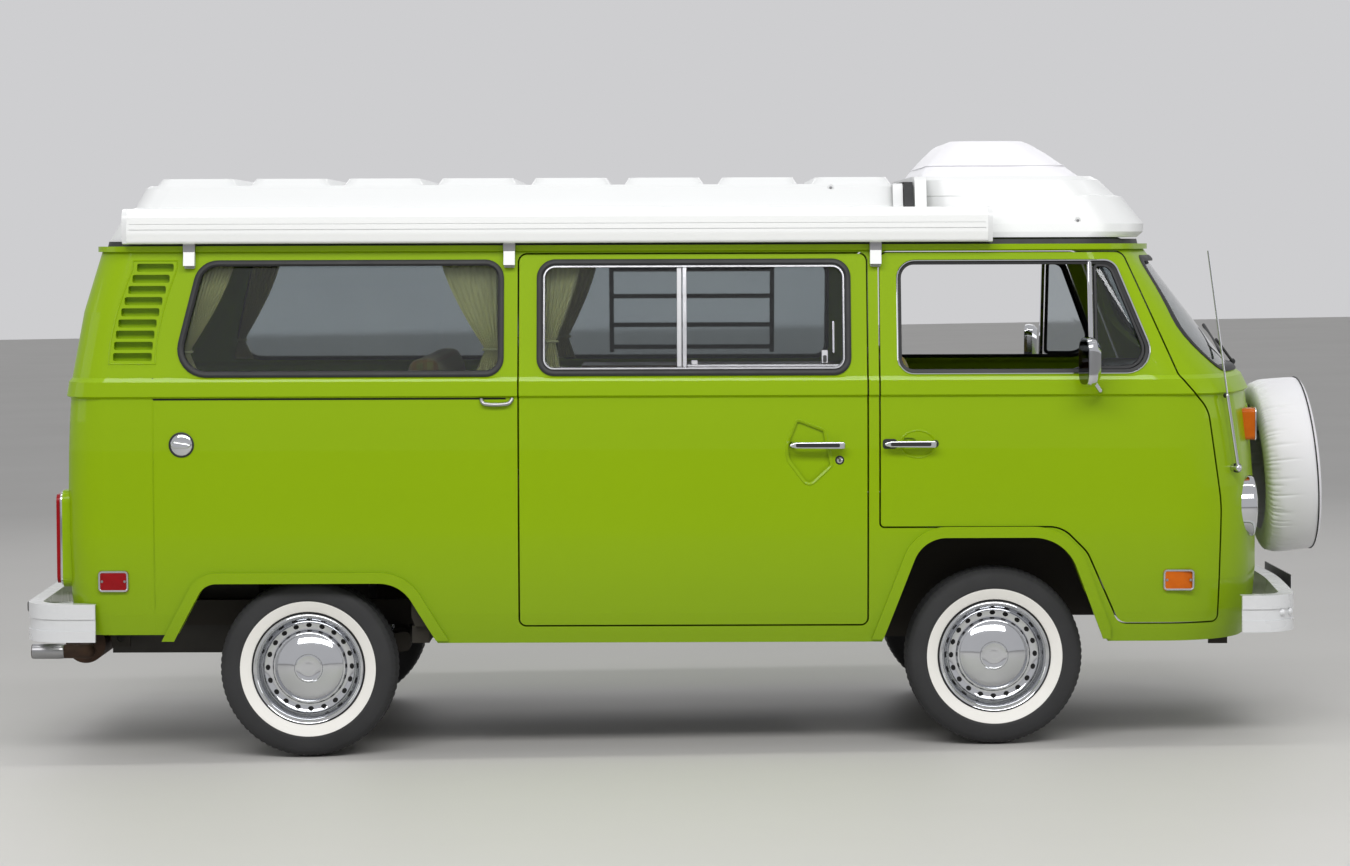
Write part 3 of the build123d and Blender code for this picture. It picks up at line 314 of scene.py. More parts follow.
def check_cloth():
    """Yellow-green check: pale ground, green and brown stripes along and across."""
    material = finish("check_fabric", srgb(206, 196, 110), srgb(190, 178, 92), rough=0.85, size=30,
                      Sheen_Weight=0.3)
    tree = material.node_tree
    skin = tree.nodes["Principled BSDF"]
    ground = skin.inputs["Base Color"].links[0].from_socket
    where = add(tree, "ShaderNodeTexCoord").outputs["Object"]
    for way, pitch, colour in (("X", 4.2, srgb(120, 128, 44)), ("Y", 4.2, srgb(120, 128, 44)),
                               ("X", 8.4, srgb(150, 92, 40)), ("Y", 8.4, srgb(150, 92, 40))):
        wave = add(tree, "ShaderNodeTexWave", [("Vector", where)], bands_direction=way, Scale=pitch)
        edge = add(tree, "ShaderNodeMapRange", [("Value", wave.outputs["Fac"])], From_Min=0.62, From_Max=0.72,
                   To_Min=0.0, To_Max=0.5)
        ground = blend(tree, edge.outputs[0], ground, colour)
    tree.links.new(ground, skin.inputs["Base Color"])
    add_weave(material, 220, 0.4)
    return material


cloth = check_cloth()
# The curtain colour is lifted to a near-white yellow. It is partly the cloth's own pale yellow and partly
# painted light, standing in for light shining through the cloth.
backlit_curtain_cloth = finish("curtain_fabric", srgb(250, 246, 188), srgb(240, 236, 168), rough=0.85, size=9,
                       Sheen_Weight=0.2)
add_weave(backlit_curtain_cloth, 320, 0.25)
veneer = finish("furniture_wood", srgb(150, 104, 62), srgb(118, 78, 44), rough=0.42, size=5, bump=0.2,
                grain=150)
print("cloth and wood ready")

# %% [markdown]
# ## Dressing the frame's own pieces
# Panels, glass, bumpers and running gear already have their true form, so they keep it and
# only take a finish.

# %% Finishes for the frame's nodes
NODE_FINISH = {
    paint: ["nose_panel", "side_panel_right", "side_panel_left", "tail_panel", "roof_panel", "sliding_door",
            "cab_door_right", "cab_door_left", "tailgate", "engine_lid", "nose_grille"],
    plastic: ["pop_top", "luggage_tray"],
    awning_white: ["awning"],
    bumper_white: ["front_bumper", "rear_bumper"],
    glass: ["sliding_door_glass", "side_glass", "tailgate_glass", "windscreen", "vent_window_right",
            "vent_window_left"],
    rubber: ["roof_seal", "wipers"],
    underside: ["floor_pan", "chassis_rails", "front_axle_beam", "rear_suspension"],
    engine_grey: ["power_unit", "knuckle_right", "knuckle_left"],
    rusty: ["exhaust"],
    black_plastic: ["dashboard", "steering_wheel"],
    veneer: ["rear_bench", "cupboard"],
    chrome: ["aerial", "mirror_right", "mirror_left"] + [name for name in NODES if name.startswith("rim_")],
    tyre_black: [name for name in NODES if name.startswith("tyre_")],
    lamp_glass: ["headlamps"],
    amber: ["amber_lamps", "side_marker_right", "side_marker_left"],
    red: ["tail_lamps"],
    vinyl: ["luggage_cover", "spare_wheel"],
    cloth: ["cab_seats", "bench_seat", "bench_back", "deck_pad"],
    backlit_curtain_cloth: ["curtains"],
}
for material, names in NODE_FINISH.items():
    for name in names:
        mesh = NODES[name].data
        mesh.materials.clear()
        mesh.materials.append(material)
print("finished", sum(len(names) for names in NODE_FINISH.values()), "nodes")

# %% [markdown]
# ## Tools for making trim
# Most trim on a van is a strip of one section that runs round an outline: seals, chrome
# frames, lips. `strip` sweeps such a section by hand-built quads, so it can lie on a curved
# panel. `turned` makes anything that was spun on a lathe, `tube` bends a bar, and `plate` cuts
# a flat piece out of an outline and gives it thickness.

# %% Outlines


def rounded(corners, steps=8, longest=90.0):
    """Closed outline with rounded corners, from (u, v, radius), with its long edges divided."""
    points = []
    for i, (u, v, r) in enumerate(corners):
        here = Vector((u, v))
        back = Vector(corners[i - 1][:2]) - here
        ahead = Vector(corners[(i + 1) % len(corners)][:2]) - here
        half = back.angle(ahead) / 2
        if r <= 0:
            points.append(here)
            continue
        reach = r / math.tan(half)
        centre = here + (back.normalized() + ahead.normalized()).normalized() * (r / math.sin(half))
        start = here + back.normalized() * reach - centre
        sweep = start.angle_signed(here + ahead.normalized() * reach - centre)
        for k in range(steps + 1):
            turned_by = Matrix.Rotation(-sweep * k / steps, 2)
            points.append(centre + turned_by @ start)
    outline = []
    for a, b in zip(points, points[1:] + points[:1]):
        parts = max(1, int((b - a).length // longest))
        outline += [a.lerp(b, k / parts) for k in range(parts)]
    return outline


def box(x0, x1, z0, z1, r, steps=8):
    """Closed outline of a rectangle with rounded corners."""
    return rounded([(x0, z0, r), (x0, z1, r), (x1, z1, r), (x1, z0, r)], steps)


def grown(outline, amount):
    """The outline moved outward."""
    area = sum(a.x * b.y - b.x * a.y for a, b in zip(outline, outline[1:] + outline[:1]))
    sign = 1 if area > 0 else -1
    result = []
    for i, point in enumerate(outline):
        before = point - outline[i - 1]
        after = outline[(i + 1) % len(outline)] - point
        along = before.normalized() + after.normalized()
        along.normalize()
        result.append(point + Vector((along.y, -along.x)) * sign * amount)
    return result


# %% Pieces from points


def riding(name, data, material, body):
    """An object in one material that rides on a body."""
    data.materials.append(material)
    made = put(name, data)
    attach(made, body)
    return made


def piece(name, verts, faces, material, body="body", sharp=35):
    """A mesh piece that rides on a body."""
    mesh = bpy.data.meshes.new(name)
    mesh.from_pydata([tuple(v) for v in verts], [], faces)
    work = bmesh.new()
    work.from_mesh(mesh)
    bmesh.ops.remove_doubles(work, verts=work.verts, dist=1e-6)
    bmesh.ops.recalc_face_normals(work, faces=work.faces)
    work.to_mesh(mesh)
    work.free()
    mesh.shade_smooth()
    mesh.set_sharp_from_angle(angle=math.radians(sharp))
    return riding(name, mesh, material, body)


def prism_faces(n):
    """Faces of a closed prism: its two ends of n points each, then its sides."""
    return [tuple(range(n)),
            tuple(range(n, 2 * n))] + [(i, (i + 1) % n, n + (i + 1) % n, n + i) for i in range(n)]


def grid_faces(rows, columns, wrap_rows=False, wrap_columns=False):
    """Quads of a grid of points, row by row."""
    faces = []
    for i in range(rows if wrap_rows else rows - 1):
        for j in range(columns if wrap_columns else columns - 1):
            i2, j2 = (i + 1) % rows, (j + 1) % columns
            faces.append((i * columns + j, i * columns + j2, i2 * columns + j2, i2 * columns + j))
    return faces


def strip(name, outline, profile, place, material, body="body"):
    """A section of (outward, proud) points swept round an outline on the skin."""
    verts = []
    offsets = [grown(outline, out) for out, _ in profile]
    for i in range(len(outline)):
        for k, (_, proud) in enumerate(profile):
            verts.append(place(offsets[k][i].x, offsets[k][i].y, proud))
    faces = grid_faces(len(outline), len(profile), True, True)
    return piece(name, verts, faces, material, body)


def plate(name, outline, place, low, high, material, body="body", bevel=0.0):
    """A flat piece cut from an outline, between two heights over the skin."""
    verts = [place(p.x, p.y, h) for h in (low, high) for p in outline]
    made = piece(name, verts, prism_faces(len(outline)), material, body)
    if bevel:
        round_off = made.modifiers.new("edge", "BEVEL")
        round_off.width = bevel * MM
        round_off.segments = 3
    return made


def turned(name, profile, centre, axis, material, body="body", steps=64, sharp=35):
    """A spun piece: (radius, height) points turned about an axis, in millimetres."""
    axis = Vector(axis).normalized()
    side = axis.orthogonal().normalized()
    other = axis.cross(side)
    verts = []
    for i in range(steps):
        a = 2 * math.pi * i / steps
        out = side * math.cos(a) + other * math.sin(a)
        verts += [centre + (out * r + axis * h) * MM for r, h in profile]
    return piece(name, verts, grid_faces(steps, len(profile), True), material, body, sharp)


def tube(name, points, radius, material, body="body", smooth=True):
    """A bent bar along points of the frame."""
    data = bpy.data.curves.new(name, "CURVE")
    data.dimensions = "3D"
    data.bevel_depth = radius * MM
    data.bevel_resolution = 4
    data.use_fill_caps = True
    line = data.splines.new("NURBS" if smooth else "POLY")
    line.points.add(len(points) - 1)
    for spot, p in zip(line.points, points):
        spot.co = (*p, 1)
    if smooth:
        line.order_u = 3
        line.use_endpoint_u = True
    return riding(name, data, material, body)


print("tools ready")

# %% [markdown]
# ## Window seals and frames
# Each pane sits in a black rubber moulding that laps over the steel. The sliding door's window
# has a bright frame inside its seal, a fixed half and a sliding half. The cab doors have a
# chrome edge, a quarter light in black rubber behind a chrome post, and the main glass wound down.

# %% Seals, sections as (outward, proud)
SEAL = [(5, -3), (5, 4), (0, 7), (-9, 7), (-16, 2), (-17, -18), (-12, -20)]
FRAME = [(-16, -14), (-16, 4), (-18, 6), (-23, 6), (-25, 3), (-25, -17)]
THIN_CHROME = [(4, -2), (4, 2), (2, 4), (-1, 4), (-3, 1), (-3, -6)]
REAR_WINDOW = rounded([(-1800, 1318, 95), (-1706, 1714, 80), (-652, 1714, 60), (-652, 1318, 60)])
DOOR_WINDOW = rounded([(-528, 1320, 55), (-528, 1714, 60), (554, 1714, 60), (554, 1320, 55)])
CAB_WINDOW = rounded([(722, 1320, 55), (722, 1710, 60), (1476, 1710, 50), (1632, 1320, 80)])
SCREEN = rounded([(-800, 1320, 130), (-590, 1722, 90), (590, 1722, 90), (800, 1320, 130)], longest=40)
TAIL_WINDOW = rounded([(-520, 1322, 70), (-484, 1672, 70), (484, 1672, 70), (520, 1322, 70)], longest=40)
for way, side in SIDES:
    at = on_side(way)
    strip(f"rear_window_seal_{side}", REAR_WINDOW, SEAL, at, rubber)
    strip(f"middle_window_seal_{side}", DOOR_WINDOW, SEAL, at, rubber)
    door = "door_" + side
    strip(f"cab_window_chrome_{side}", CAB_WINDOW, THIN_CHROME, at, chrome, door)
    strip(f"cab_window_channel_{side}", grown(CAB_WINDOW, -3), [(0, -3), (-10, -5), (-11, -40), (0, -40)], at,
          rubber, door)
    vent = rounded([(1408, 1336, 18), (1408, 1696, 14), (1466, 1696, 44), (1606, 1336, 66)])
    strip(f"vent_window_frame_{side}", vent, [(3, -24), (3, -6), (1, -2), (-7, -2), (-9, -8), (-9, -24)], at,
          rubber, door)
    plate(f"vent_window_post_{side}", box(1387, 1400, 1324, 1706, 0), at, -30, 0, chrome, door, 2)
strip("sliding_window_frame", DOOR_WINDOW, FRAME, on_side(RIGHT), aluminium)
strip("windscreen_seal", SCREEN, SEAL, on_end(True), rubber)
strip("tailgate_window_seal", TAIL_WINDOW, SEAL, on_end(False), rubber, "tail_door")

# %% Sliding window: divider, track, catch and finger pull
RIGHT_SIDE = on_side(RIGHT)


def bar(name, x0, x1, z0, z1, low, high, material, way=RIGHT, bevel=1.5, r=3):
    """A small rectangular bar on a side."""
    return plate(name, box(x0, x1, z0, z1, r, 3), on_side(way), low, high, material, "body", bevel)


bar("sliding_window_post", -26, -12, 1345, 1690, -14, 4, aluminium)
bar("sliding_window_brush", -46, -29, 1345, 1690, -14, -2, steel)
bar("sliding_window_track", -10, 526, 1346, 1353, -14, 2, aluminium)
bar("sliding_window_pull", 494, 501, 1392, 1502, -14, 3, aluminium)
bar("sliding_window_catch", 456, 478, 1356, 1402, -14, 0, steel)
bar("sliding_window_catch_lever", 461, 473, 1362, 1384, 0, 8, black_plastic)
bar("sliding_window_stop", 4, 26, 1353, 1368, -14, 0, steel)

# %% [markdown]
# ## Belt rail, handles and filler
# The sliding door runs on a rail behind the long cover strip at the belt. Its end pokes out
# as a small bent tube. Door handles are chromed bars that stand off the skin on two feet, over
# a hollow pressed into the panel.

# %% Belt rail
bar("rail_cover_shadow", -1862, -640, 1235, 1241, -3, 1, dark_hole, bevel=0, r=0)
bar("rail_cover_gap", -1866, -1861, 1240, 1312, -3, 2, dark_hole, bevel=0, r=0)
bar("quarter_seam", -1864, -1861, 424, 1230, -2, 1.2, paint, bevel=0, r=0)
rail_end = [(-724, 1236, 4), (-722, 1222, 12), (-700, 1217, 13), (-650, 1217, 13), (-622, 1222, 12),
            (-618, 1238, 4)]
tube("sliding_rail_end", [RIGHT_SIDE(x, z, h) for x, z, h in rail_end], 7, steel)

# %% Handles


def pull_handle(name, x0, x1, z, way, body):
    """A flat chromed bar on two feet, with its dark rubber inlay."""
    at = on_side(way)
    outline = rounded([(x0 - 9, z - 3, 3), (x0 - 9, z + 4, 3), (x0 + 12, z + 11, 8), (x1 + 4, z + 12, 7),
                       (x1 + 4, z - 12, 7), (x0 + 12, z - 10, 8)], 4)
    plate(name, outline, at, 27, 41, chrome, body, 4)
    outline = box(x0 + 12, x1 - 14, z - 6, z + 7, 5, 4)
    plate(name + "_inlay", outline, at, 40, 42, black_plastic, body, 0.8)
    for i, x in enumerate((x0 + 2, x1 - 6)):
        turned(f"{name}_foot_{i}", [(0, 30), (8, 30), (9, 8), (12, 0), (0, 0)], at(x, z, 0), (0, way, 0),
               chrome, body, 32)


def lock(name, x, z, way, body, radius=17):
    """A round key lock with its rubber ring."""
    at = on_side(way)
    turned(name + "_ring", [(0, 3), (radius, 3), (radius + 3, 0)], at(x, z, 0), (0, way, 0), rubber, body, 40)
    turned(name, [(0, 8), (radius - 7, 8), (radius - 3, 5), (radius - 3, 2)], at(x, z, 0), (0, way, 0),
           chrome, body, 40)
    outline = box(x - 1.5, x + 1.5, z - 5, z + 5, 1, 2)
    plate(name + "_slot", outline, at, 8, 8.6, dark_hole, body)


HOLLOW = rounded([(368, 1165, 14), (467, 1126, 14), (472, 1094, 20), (492, 1003, 18), (408, 926, 26),
                  (336, 1022, 60), (331, 1076, 60)])
LIP = [(6, -1), (4, 2), (1, 3.2), (-3, 1.5), (-7, -1)]
CAB_HANDLE_Z = 1077
# The oval hollow behind the cab door's handle: middle along the van, half length, half height.
OVAL_X, OVAL_LONG, OVAL_HIGH = 788, 60, 46
strip("sliding_handle_hollow", HOLLOW, LIP, RIGHT_SIDE, paint)
pull_handle("sliding_door_handle", 352, 530, 1074, RIGHT, "body")
lock("sliding_door_lock", 517, 1021, RIGHT, "body", 13)
for way, side in SIDES:
    oval = [Vector((OVAL_X + OVAL_LONG * math.cos(a), CAB_HANDLE_Z + OVAL_HIGH * math.sin(a))) for a in
            [2 * math.pi * k / 48 for k in range(48)]]
    strip(f"cab_handle_hollow_{side}", oval, LIP, on_side(way), paint, "door_" + side)
    pull_handle(f"cab_door_handle_{side}", 680, 846, CAB_HANDLE_Z, way, "door_" + side)
    for x0, x1, half in ((666, 716, 17), (836, 860, 13)):
        pad = box(x0, x1, CAB_HANDLE_Z - half, CAB_HANDLE_Z + half, 11, 4)
        plate(f"cab_handle_pad_{side}_{x0}", pad, on_side(way), -1, 3, rubber, "door_" + side, 1)

# %% Mirror glass
mirror_face = finish("mirror_glass", (0.10, 0.10, 0.11, 1), (0.08, 0.08, 0.09, 1), rough=0.04, spread=0.02,
                     metal=1, bump=0.0)
MIRROR_TURN = math.radians(12)
for way, side in SIDES:
    def on_mirror(u, v, h, way=way):
        """Placing rule on the mirror's glass: (across, up, proud)."""
        x = 1369 - (20 + h) * math.cos(MIRROR_TURN) - u * math.sin(MIRROR_TURN)
        y = 965 + (20 + h) * math.sin(MIRROR_TURN) - u * math.cos(MIRROR_TURN)
        return row(x, way * y, 1362 + v)

    face = box(-50, 50, -77, 77, 40)
    plate("mirror_glass_" + side, face, on_mirror, 0, 1.2, mirror_face, "door_" + side, 0.5)
print("mirror glasses in")

# %% Fuel filler
cap = RIGHT_SIDE(-1764, 1081, 0)
turned("filler_ring", [(42, 0), (44, 3), (40, 5), (37, 3)], cap, (0, RIGHT, 0), rubber)
turned("filler_cap", [(0, 10), (22, 9), (32, 7), (38, 3), (39, 0)], cap, (0, RIGHT, 0), chrome)
grip = rounded([(-1800, 1078, 4), (-1790, 1094, 6), (-1740, 1086, 6), (-1728, 1080, 4), (-1740, 1070, 6),
                (-1788, 1070, 6)], 4)
plate("filler_grip", grip, RIGHT_SIDE, 8, 18, chrome, "body", 4)


# The group of louvres: height of its top slot, height of the group, top and height of its border.
LOUVRE_TOP, LOUVRE_SPAN, BORDER_TOP, BORDER_SPAN = 1694, 309, 1718, 357


def louvre_edge(t, back):
    """Edge of the louvre group at a share of its height from the top."""
    bend = 1 - (1 - t) ** 1.6
    return -1926 - 77 * bend - 13 if back else -1798 - 70 * bend + 13


heights = [BORDER_TOP - BORDER_SPAN * k / 12 for k in range(13)]
shares = [min(max((LOUVRE_TOP - z) / LOUVRE_SPAN, 0), 1) for z in heights]
border = [Vector((louvre_edge(t, False), z)) for t, z in zip(shares, heights)]
border += [Vector((louvre_edge(t, True), z)) for t, z in reversed(list(zip(shares, heights)))]
for way, side in SIDES:
    strip(f"louvre_border_{side}", border, [(4, -1), (2, 2), (0, 3), (-2, 2), (-4, -1)], on_side(way), paint)
print("belt, handles and louvre borders done")

# %% [markdown]
# ## Side lamps
# Four small lamps sit low on the flanks, amber ahead and red behind, each in a bright frame.

# %% Side lamp frames
LAMP_FRAME = [(1, 0), (1, 8), (-1, 12), (-5, 12.5), (-7, 11), (-7, 2)]
SIDE_LAMPS = {"front": (1640, 1748, 564, 638), "rear": (-2057, -1952, 570, 644)}
for way, side in SIDES:
    for place_name, (x0, x1, z0, z1) in SIDE_LAMPS.items():
        rides_on = "body" if place_name == "rear" else "door_" + side
        strip(f"side_lamp_frame_{place_name}_{side}", box(x0, x1, z0, z1, 14), LAMP_FRAME, on_side(way),
              aluminium, rides_on)
        for i, x in enumerate((x0 + 13, x1 - 13)):
            turned(f"side_lamp_screw_{place_name}_{side}_{i}", [(0, 3), (4, 2), (5, 0)],
                   on_side(way)(x, (z0 + z1) / 2, 10), (0, way, 0), steel, rides_on, 16)
print("side lamps framed")

# %% [markdown]
# ## Wheels
# The tyre is spun from its section: crown with grooves, shoulder, side wall with moulded rings.
# The white band is its own ring of pale rubber. The wheel is a chromed disc with a row of
# dark slots and a domed cap, whose middle is left plain.

# %% Tyres, white bands, discs and caps
TYRE_RADIUS = 312
HUB_Z = 0.312
WHEELS = {"front_right": (1.067, -0.6975, RIGHT), "front_left": (1.067, 0.6975, LEFT),
          "rear_right": (-1.333, -0.7275, RIGHT), "rear_left": (-1.333, 0.7275, LEFT)}
GROOVES = (-46, -16, 16, 46)
TREAD_STEPS = 240
SLOT_COUNT, SLOT_RING, SLOT_LONG, SLOT_WIDE = 20, 147, 10, 8


def crown(y):
    """Radius of the tread across the tyre."""
    return TYRE_RADIUS - 6 * (y / 69) ** 2


def tyre_section():
    """(radius, across) points from one bead to the other."""
    wall = [(184, -64), (196, -68), (200, -72), (232, -88), (242, -92), (246, -92.6), (250, -92.4),
            (264, -92), (286, -88), (296, -82)]
    tread = [(crown(-69), -69)]
    for g in GROOVES:
        tread += [(crown(g) - 0.2, g - 4), (crown(g) - 8, g - 3), (crown(g) - 8, g + 3),
                  (crown(g) - 0.2, g + 4)]
    return wall + tread + [(crown(69), 69)] + [(r, -y) for r, y in reversed(wall)]


def spin(name, profile, hub, way, material, body, steps, sharp=35):
    """A piece turned on the wheel's axle: (radius, outboard) points."""
    return turned(name, profile, hub, (0, way, 0), material, body, steps, sharp)


def tread_blocks(tyre, steps):
    """Cuts cross grooves into the shoulders by sinking every third slice."""
    verts = tyre.data.vertices
    hub_x = sum(v.co.x for v in verts) / len(verts)
    for v in verts:
        out = Vector((v.co.x - hub_x, 0, v.co.z - HUB_Z))
        turn_by = math.atan2(out.z, out.x) / (2 * math.pi) * steps
        if out.length > 0.296 and int(round(turn_by)) % 3 == 0:
            out.length -= 0.0025
            v.co.x, v.co.z = hub_x + out.x, HUB_Z + out.z


BAND = [(198, 69.5), (200, 73.2), (232, 89.2), (236, 90.6), (237, 90)]
RIM_BACK = [(189, -76), (182, -64), (180, -40), (168, -12), (168, 20), (176, 60)]
DISC_BACK = [(112, 6), (60, 40), (40, 40)]
DISC = [(176, 60), (188, 74), (192, 76), (192, 71), (189, 74), (184, 75), (178, 70), (172, 52), (167, 36),
        (160, 26), (154, 22), (148, 20), (138, 17), (131, 18), (127, 22), (125.5, 28)]
CAP = [(126, 26), (127, 32), (125, 36), (122, 36), (119, 38), (112, 43), (96, 51), (76, 58.5), (54, 64),
       (50, 65), (48, 68), (44, 68.6), (42, 67.6), (20, 69), (0, 69.4)]
for name, (x, y, way) in WHEELS.items():
    hub = Vector((x, y, HUB_Z))
    body = "wheel_" + name
    tyre = spin("tyre_dressed_" + name, tyre_section(), hub, way, tyre_black, body, TREAD_STEPS, 25)
    tread_blocks(tyre, TREAD_STEPS)
    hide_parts("tyre_" + name)
    spin("white_band_" + name, BAND, hub, way, white_wall, body, 128)
    disc = spin("wheel_disc_" + name, RIM_BACK + DISC + DISC_BACK, hub, way, chrome, body, 128)
    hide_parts("rim_" + name)
    spin("hub_cap_" + name, CAP, hub, way, chrome, body, 128)
    verts, faces = [], []
    for k in range(SLOT_COUNT):
        a = 2 * math.pi * k / SLOT_COUNT
        out = Vector((math.cos(a), 0, math.sin(a)))
        along = Vector((-math.sin(a), 0, math.cos(a)))
        base = len(verts)
        for j in range(12):
            b = 2 * math.pi * j / 12
            r = SLOT_RING + SLOT_WIDE * math.cos(b)
            outboard = Vector((0, way, 0)) * (20.6 + (r - SLOT_RING) * 0.3)
            verts.append(hub + (out * r + along * SLOT_LONG * math.sin(b) + outboard) * MM)
        faces.append(tuple(range(base, base + 12)))
    piece("wheel_slots_" + name, verts, faces, dark_hole, body)
print("four wheels dressed")

# %% [markdown]
# ## Wheel houses
# Over each front wheel the floor carries a dark steel housing that follows the arch, so the
# road is shut out of the cab. It is wide enough for the wheel on full lock.

# %% Front wheel houses
HOUSE_BACK_X, HOUSE_FRONT_X, HOUSE_FOOT_Z, HOUSE_TOP_Z = 650, 1452, 440, 762
HOUSE_OUTER_Y, HOUSE_INNER_Y = 786, 446
HOUSE_ARCH = rounded([(HOUSE_BACK_X, HOUSE_FOOT_Z, 0), (806, HOUSE_TOP_Z, 110), (1300, HOUSE_TOP_Z, 150),
                      (HOUSE_FRONT_X, HOUSE_FOOT_Z, 0)], 10)
# The outline also runs along the open foot between the two walls, so those points are left out.
arch = [p for p in HOUSE_ARCH if p.y > HOUSE_FOOT_Z + 1 or p.x in (HOUSE_BACK_X, HOUSE_FRONT_X)]
for way, side in SIDES:
    verts = [row(p.x, way * y, p.y) for y in (HOUSE_OUTER_Y, HOUSE_INNER_Y) for p in arch]
    n = len(arch)
    faces = [(i, i + 1, n + i + 1, n + i) for i in range(n - 1)] + [tuple(range(n, 2 * n))]
    piece("wheel_house_" + side, verts, faces, underside)
print("wheel houses in")

# %% [markdown]
# ## Spare wheel cover
# A sewn vinyl cover is pulled over the spare on the nose. Its front disc is tight, a thin black
# piping marks the seam, and elastic gathers the back edge into dozens of small folds. The
# folds are made here by pushing a spun sheet in and out, more and more towards the elastic.

# %% Spare wheel cover
random.seed(7)
SPARE_CENTRE = row(2096, 0, 938)
SPARE_TILT = math.radians(5)
SPARE_AXIS = (row(math.cos(SPARE_TILT), 0, math.sin(SPARE_TILT)) - row(0, 0, 0)).normalized()
# Folds: angle, half width of the fold, depth in mm, length in mm from the elastic.
FOLDS = []
fold_at = 0.0
while fold_at < 2 * math.pi - 0.03:
    FOLDS.append((fold_at, random.uniform(0.008, 0.02), random.uniform(4, 13),
                  random.choice((34, 46, 60, 84, 120))))
    fold_at += random.uniform(0.03, 0.075)


def spare_cover():
    """Spun sheet with gathered folds at its back edge."""
    rows = [(236, 3), (262, 1), (282, 3), (298, 7), (308, 12), (314, 18), (318, 26), (321, 35), (323, 45),
            (323.5, 56), (323.5, 68), (323.5, 82), (323.5, 98), (323, 118), (322.5, 140), (321.5, 160),
            (320, 174), (317.5, 182), (314, 188), (306, 193), (288, 197), (250, 202), (200, 206), (120, 209),
            (50, 210), (0, 210)]
    steps = 720
    side = SPARE_AXIS.orthogonal().normalized()
    other = SPARE_AXIS.cross(side)
    verts = []
    for i in range(steps):
        a = 2 * math.pi * i / steps
        out = side * math.cos(a) + other * math.sin(a)
        slow = noise.noise(Vector((math.cos(a), math.sin(a), 0.3)) * 2.2)
        near = []
        for spot, half, depth, length in FOLDS:
            off = abs((a - spot + math.pi) % (2 * math.pi) - math.pi)
            if off < 4 * half:
                near.append((depth * math.exp(-(off / half) ** 2), length))
        for r, h in rows:
            sunk = sum(d * max(0.0, 1 - h / length) for d, length in near)
            gather = max(0.0, 1 - h / 60) * 4
            r2 = r - min(sunk, 16) - gather - (1.5 * slow + 1.5 if 20 < h < 185 else 0)
            verts.append(SPARE_CENTRE + (out * r2 + SPARE_AXIS * h) * MM)
    cover = piece("spare_cover", verts, grid_faces(steps, len(rows), True), vinyl, "body", 80)
    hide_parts("spare_wheel")
    return cover


def cloth_over(made, across, up):
    """Metres round a cover's outline from one side, without its longest edge. Where the open edge
    isn't seen as one straight line, as on both covers here, this is more than the cloth itself."""
    seen = [Vector((v.co[across], v.co[up])) for v in made.data.vertices]
    hull = [seen[k] for k in convex_hull_2d(seen)]
    steps = [(b - a).length for a, b in zip(hull, hull[1:] + hull[:1])]
    return sum(steps) - max(steps)


def area_of(made):
    """Surface of a mesh piece in square metres."""
    return sum(p.area for p in made.data.polygons)


cover = spare_cover()
flat_size = (cloth_over(cover, 1, 0), cloth_over(cover, 2, 0))
turned("spare_cover_piping", [(316, 179), (320, 178), (321.5, 180.5), (320, 183), (316, 183)], SPARE_CENTRE,
       SPARE_AXIS, black_plastic, "body", 160, 80)
print("spare cover area", round(area_of(cover), 3), "m2")

# %% [markdown]
# ## Luggage cover
# On the tray over the cab lies a load under a white vinyl sheet. The sheet is a lofted shell
# between nine rounded outlines, with the slack of cloth between its corners.

# %% Luggage cover
COVER_ROWS = [(1852, 837, 1490, 590, 110), (1925, 828, 1446, 590, 110), (2000, 817, 1400, 588, 110),
              (2022, 831, 1372, 557, 110), (2045, 847, 1344, 525, 110), (2070, 868, 1312, 488, 107),
              (2092, 887, 1284, 455, 105), (2125, 920, 1232, 416, 100), (2137, 940, 1204, 401, 95)]


def luggage_cover():
    """Lofted vinyl sheet over the load."""
    verts = []
    count = 0
    for z, x0, x1, half, r in COVER_ROWS:
        outline = rounded([(x0, -half, r), (x1, -half, r), (x1, half, r), (x0, half, r)], 10, 1e9)
        ring = []
        for a, b in zip(outline, outline[1:] + outline[:1]):
            parts = 14 if (b - a).length > 30 else 1
            ring += [a.lerp(b, k / parts) for k in range(parts)]
        count = len(ring)
        for p in ring:
            slack = noise.noise(Vector((p.x / 160, p.y / 160, z / 70))) * 5 * (1 if 1900 < z < 2135 else 0.2)
            centre = Vector(((x0 + x1) / 2, 0))
            p2 = p + (centre - p).normalized() * (4 + slack)
            verts.append(row(p2.x, p2.y, z - 1 + slack * 0.2))
    faces = grid_faces(len(COVER_ROWS), count, False, True)
    last = (len(COVER_ROWS) - 1) * count
    faces.append(tuple(range(last, last + count)))
    made = piece("luggage_vinyl", verts, faces, vinyl, "body", 50)
    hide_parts("luggage_cover")
    return made


load = luggage_cover()
flat_size = (cloth_over(load, 0, 2), cloth_over(load, 1, 2))
seam = rounded([(850, -523, 108), (1341, -523, 108), (1341, 523, 108), (850, 523, 108)], 10)
tube("luggage_seam", [row(p.x, p.y, 2046) for p in seam] + [row(seam[0].x, seam[0].y, 2046)], 2.2, vinyl,
     "body", False)
print("luggage sheet area", round(area_of(load), 3), "m2")
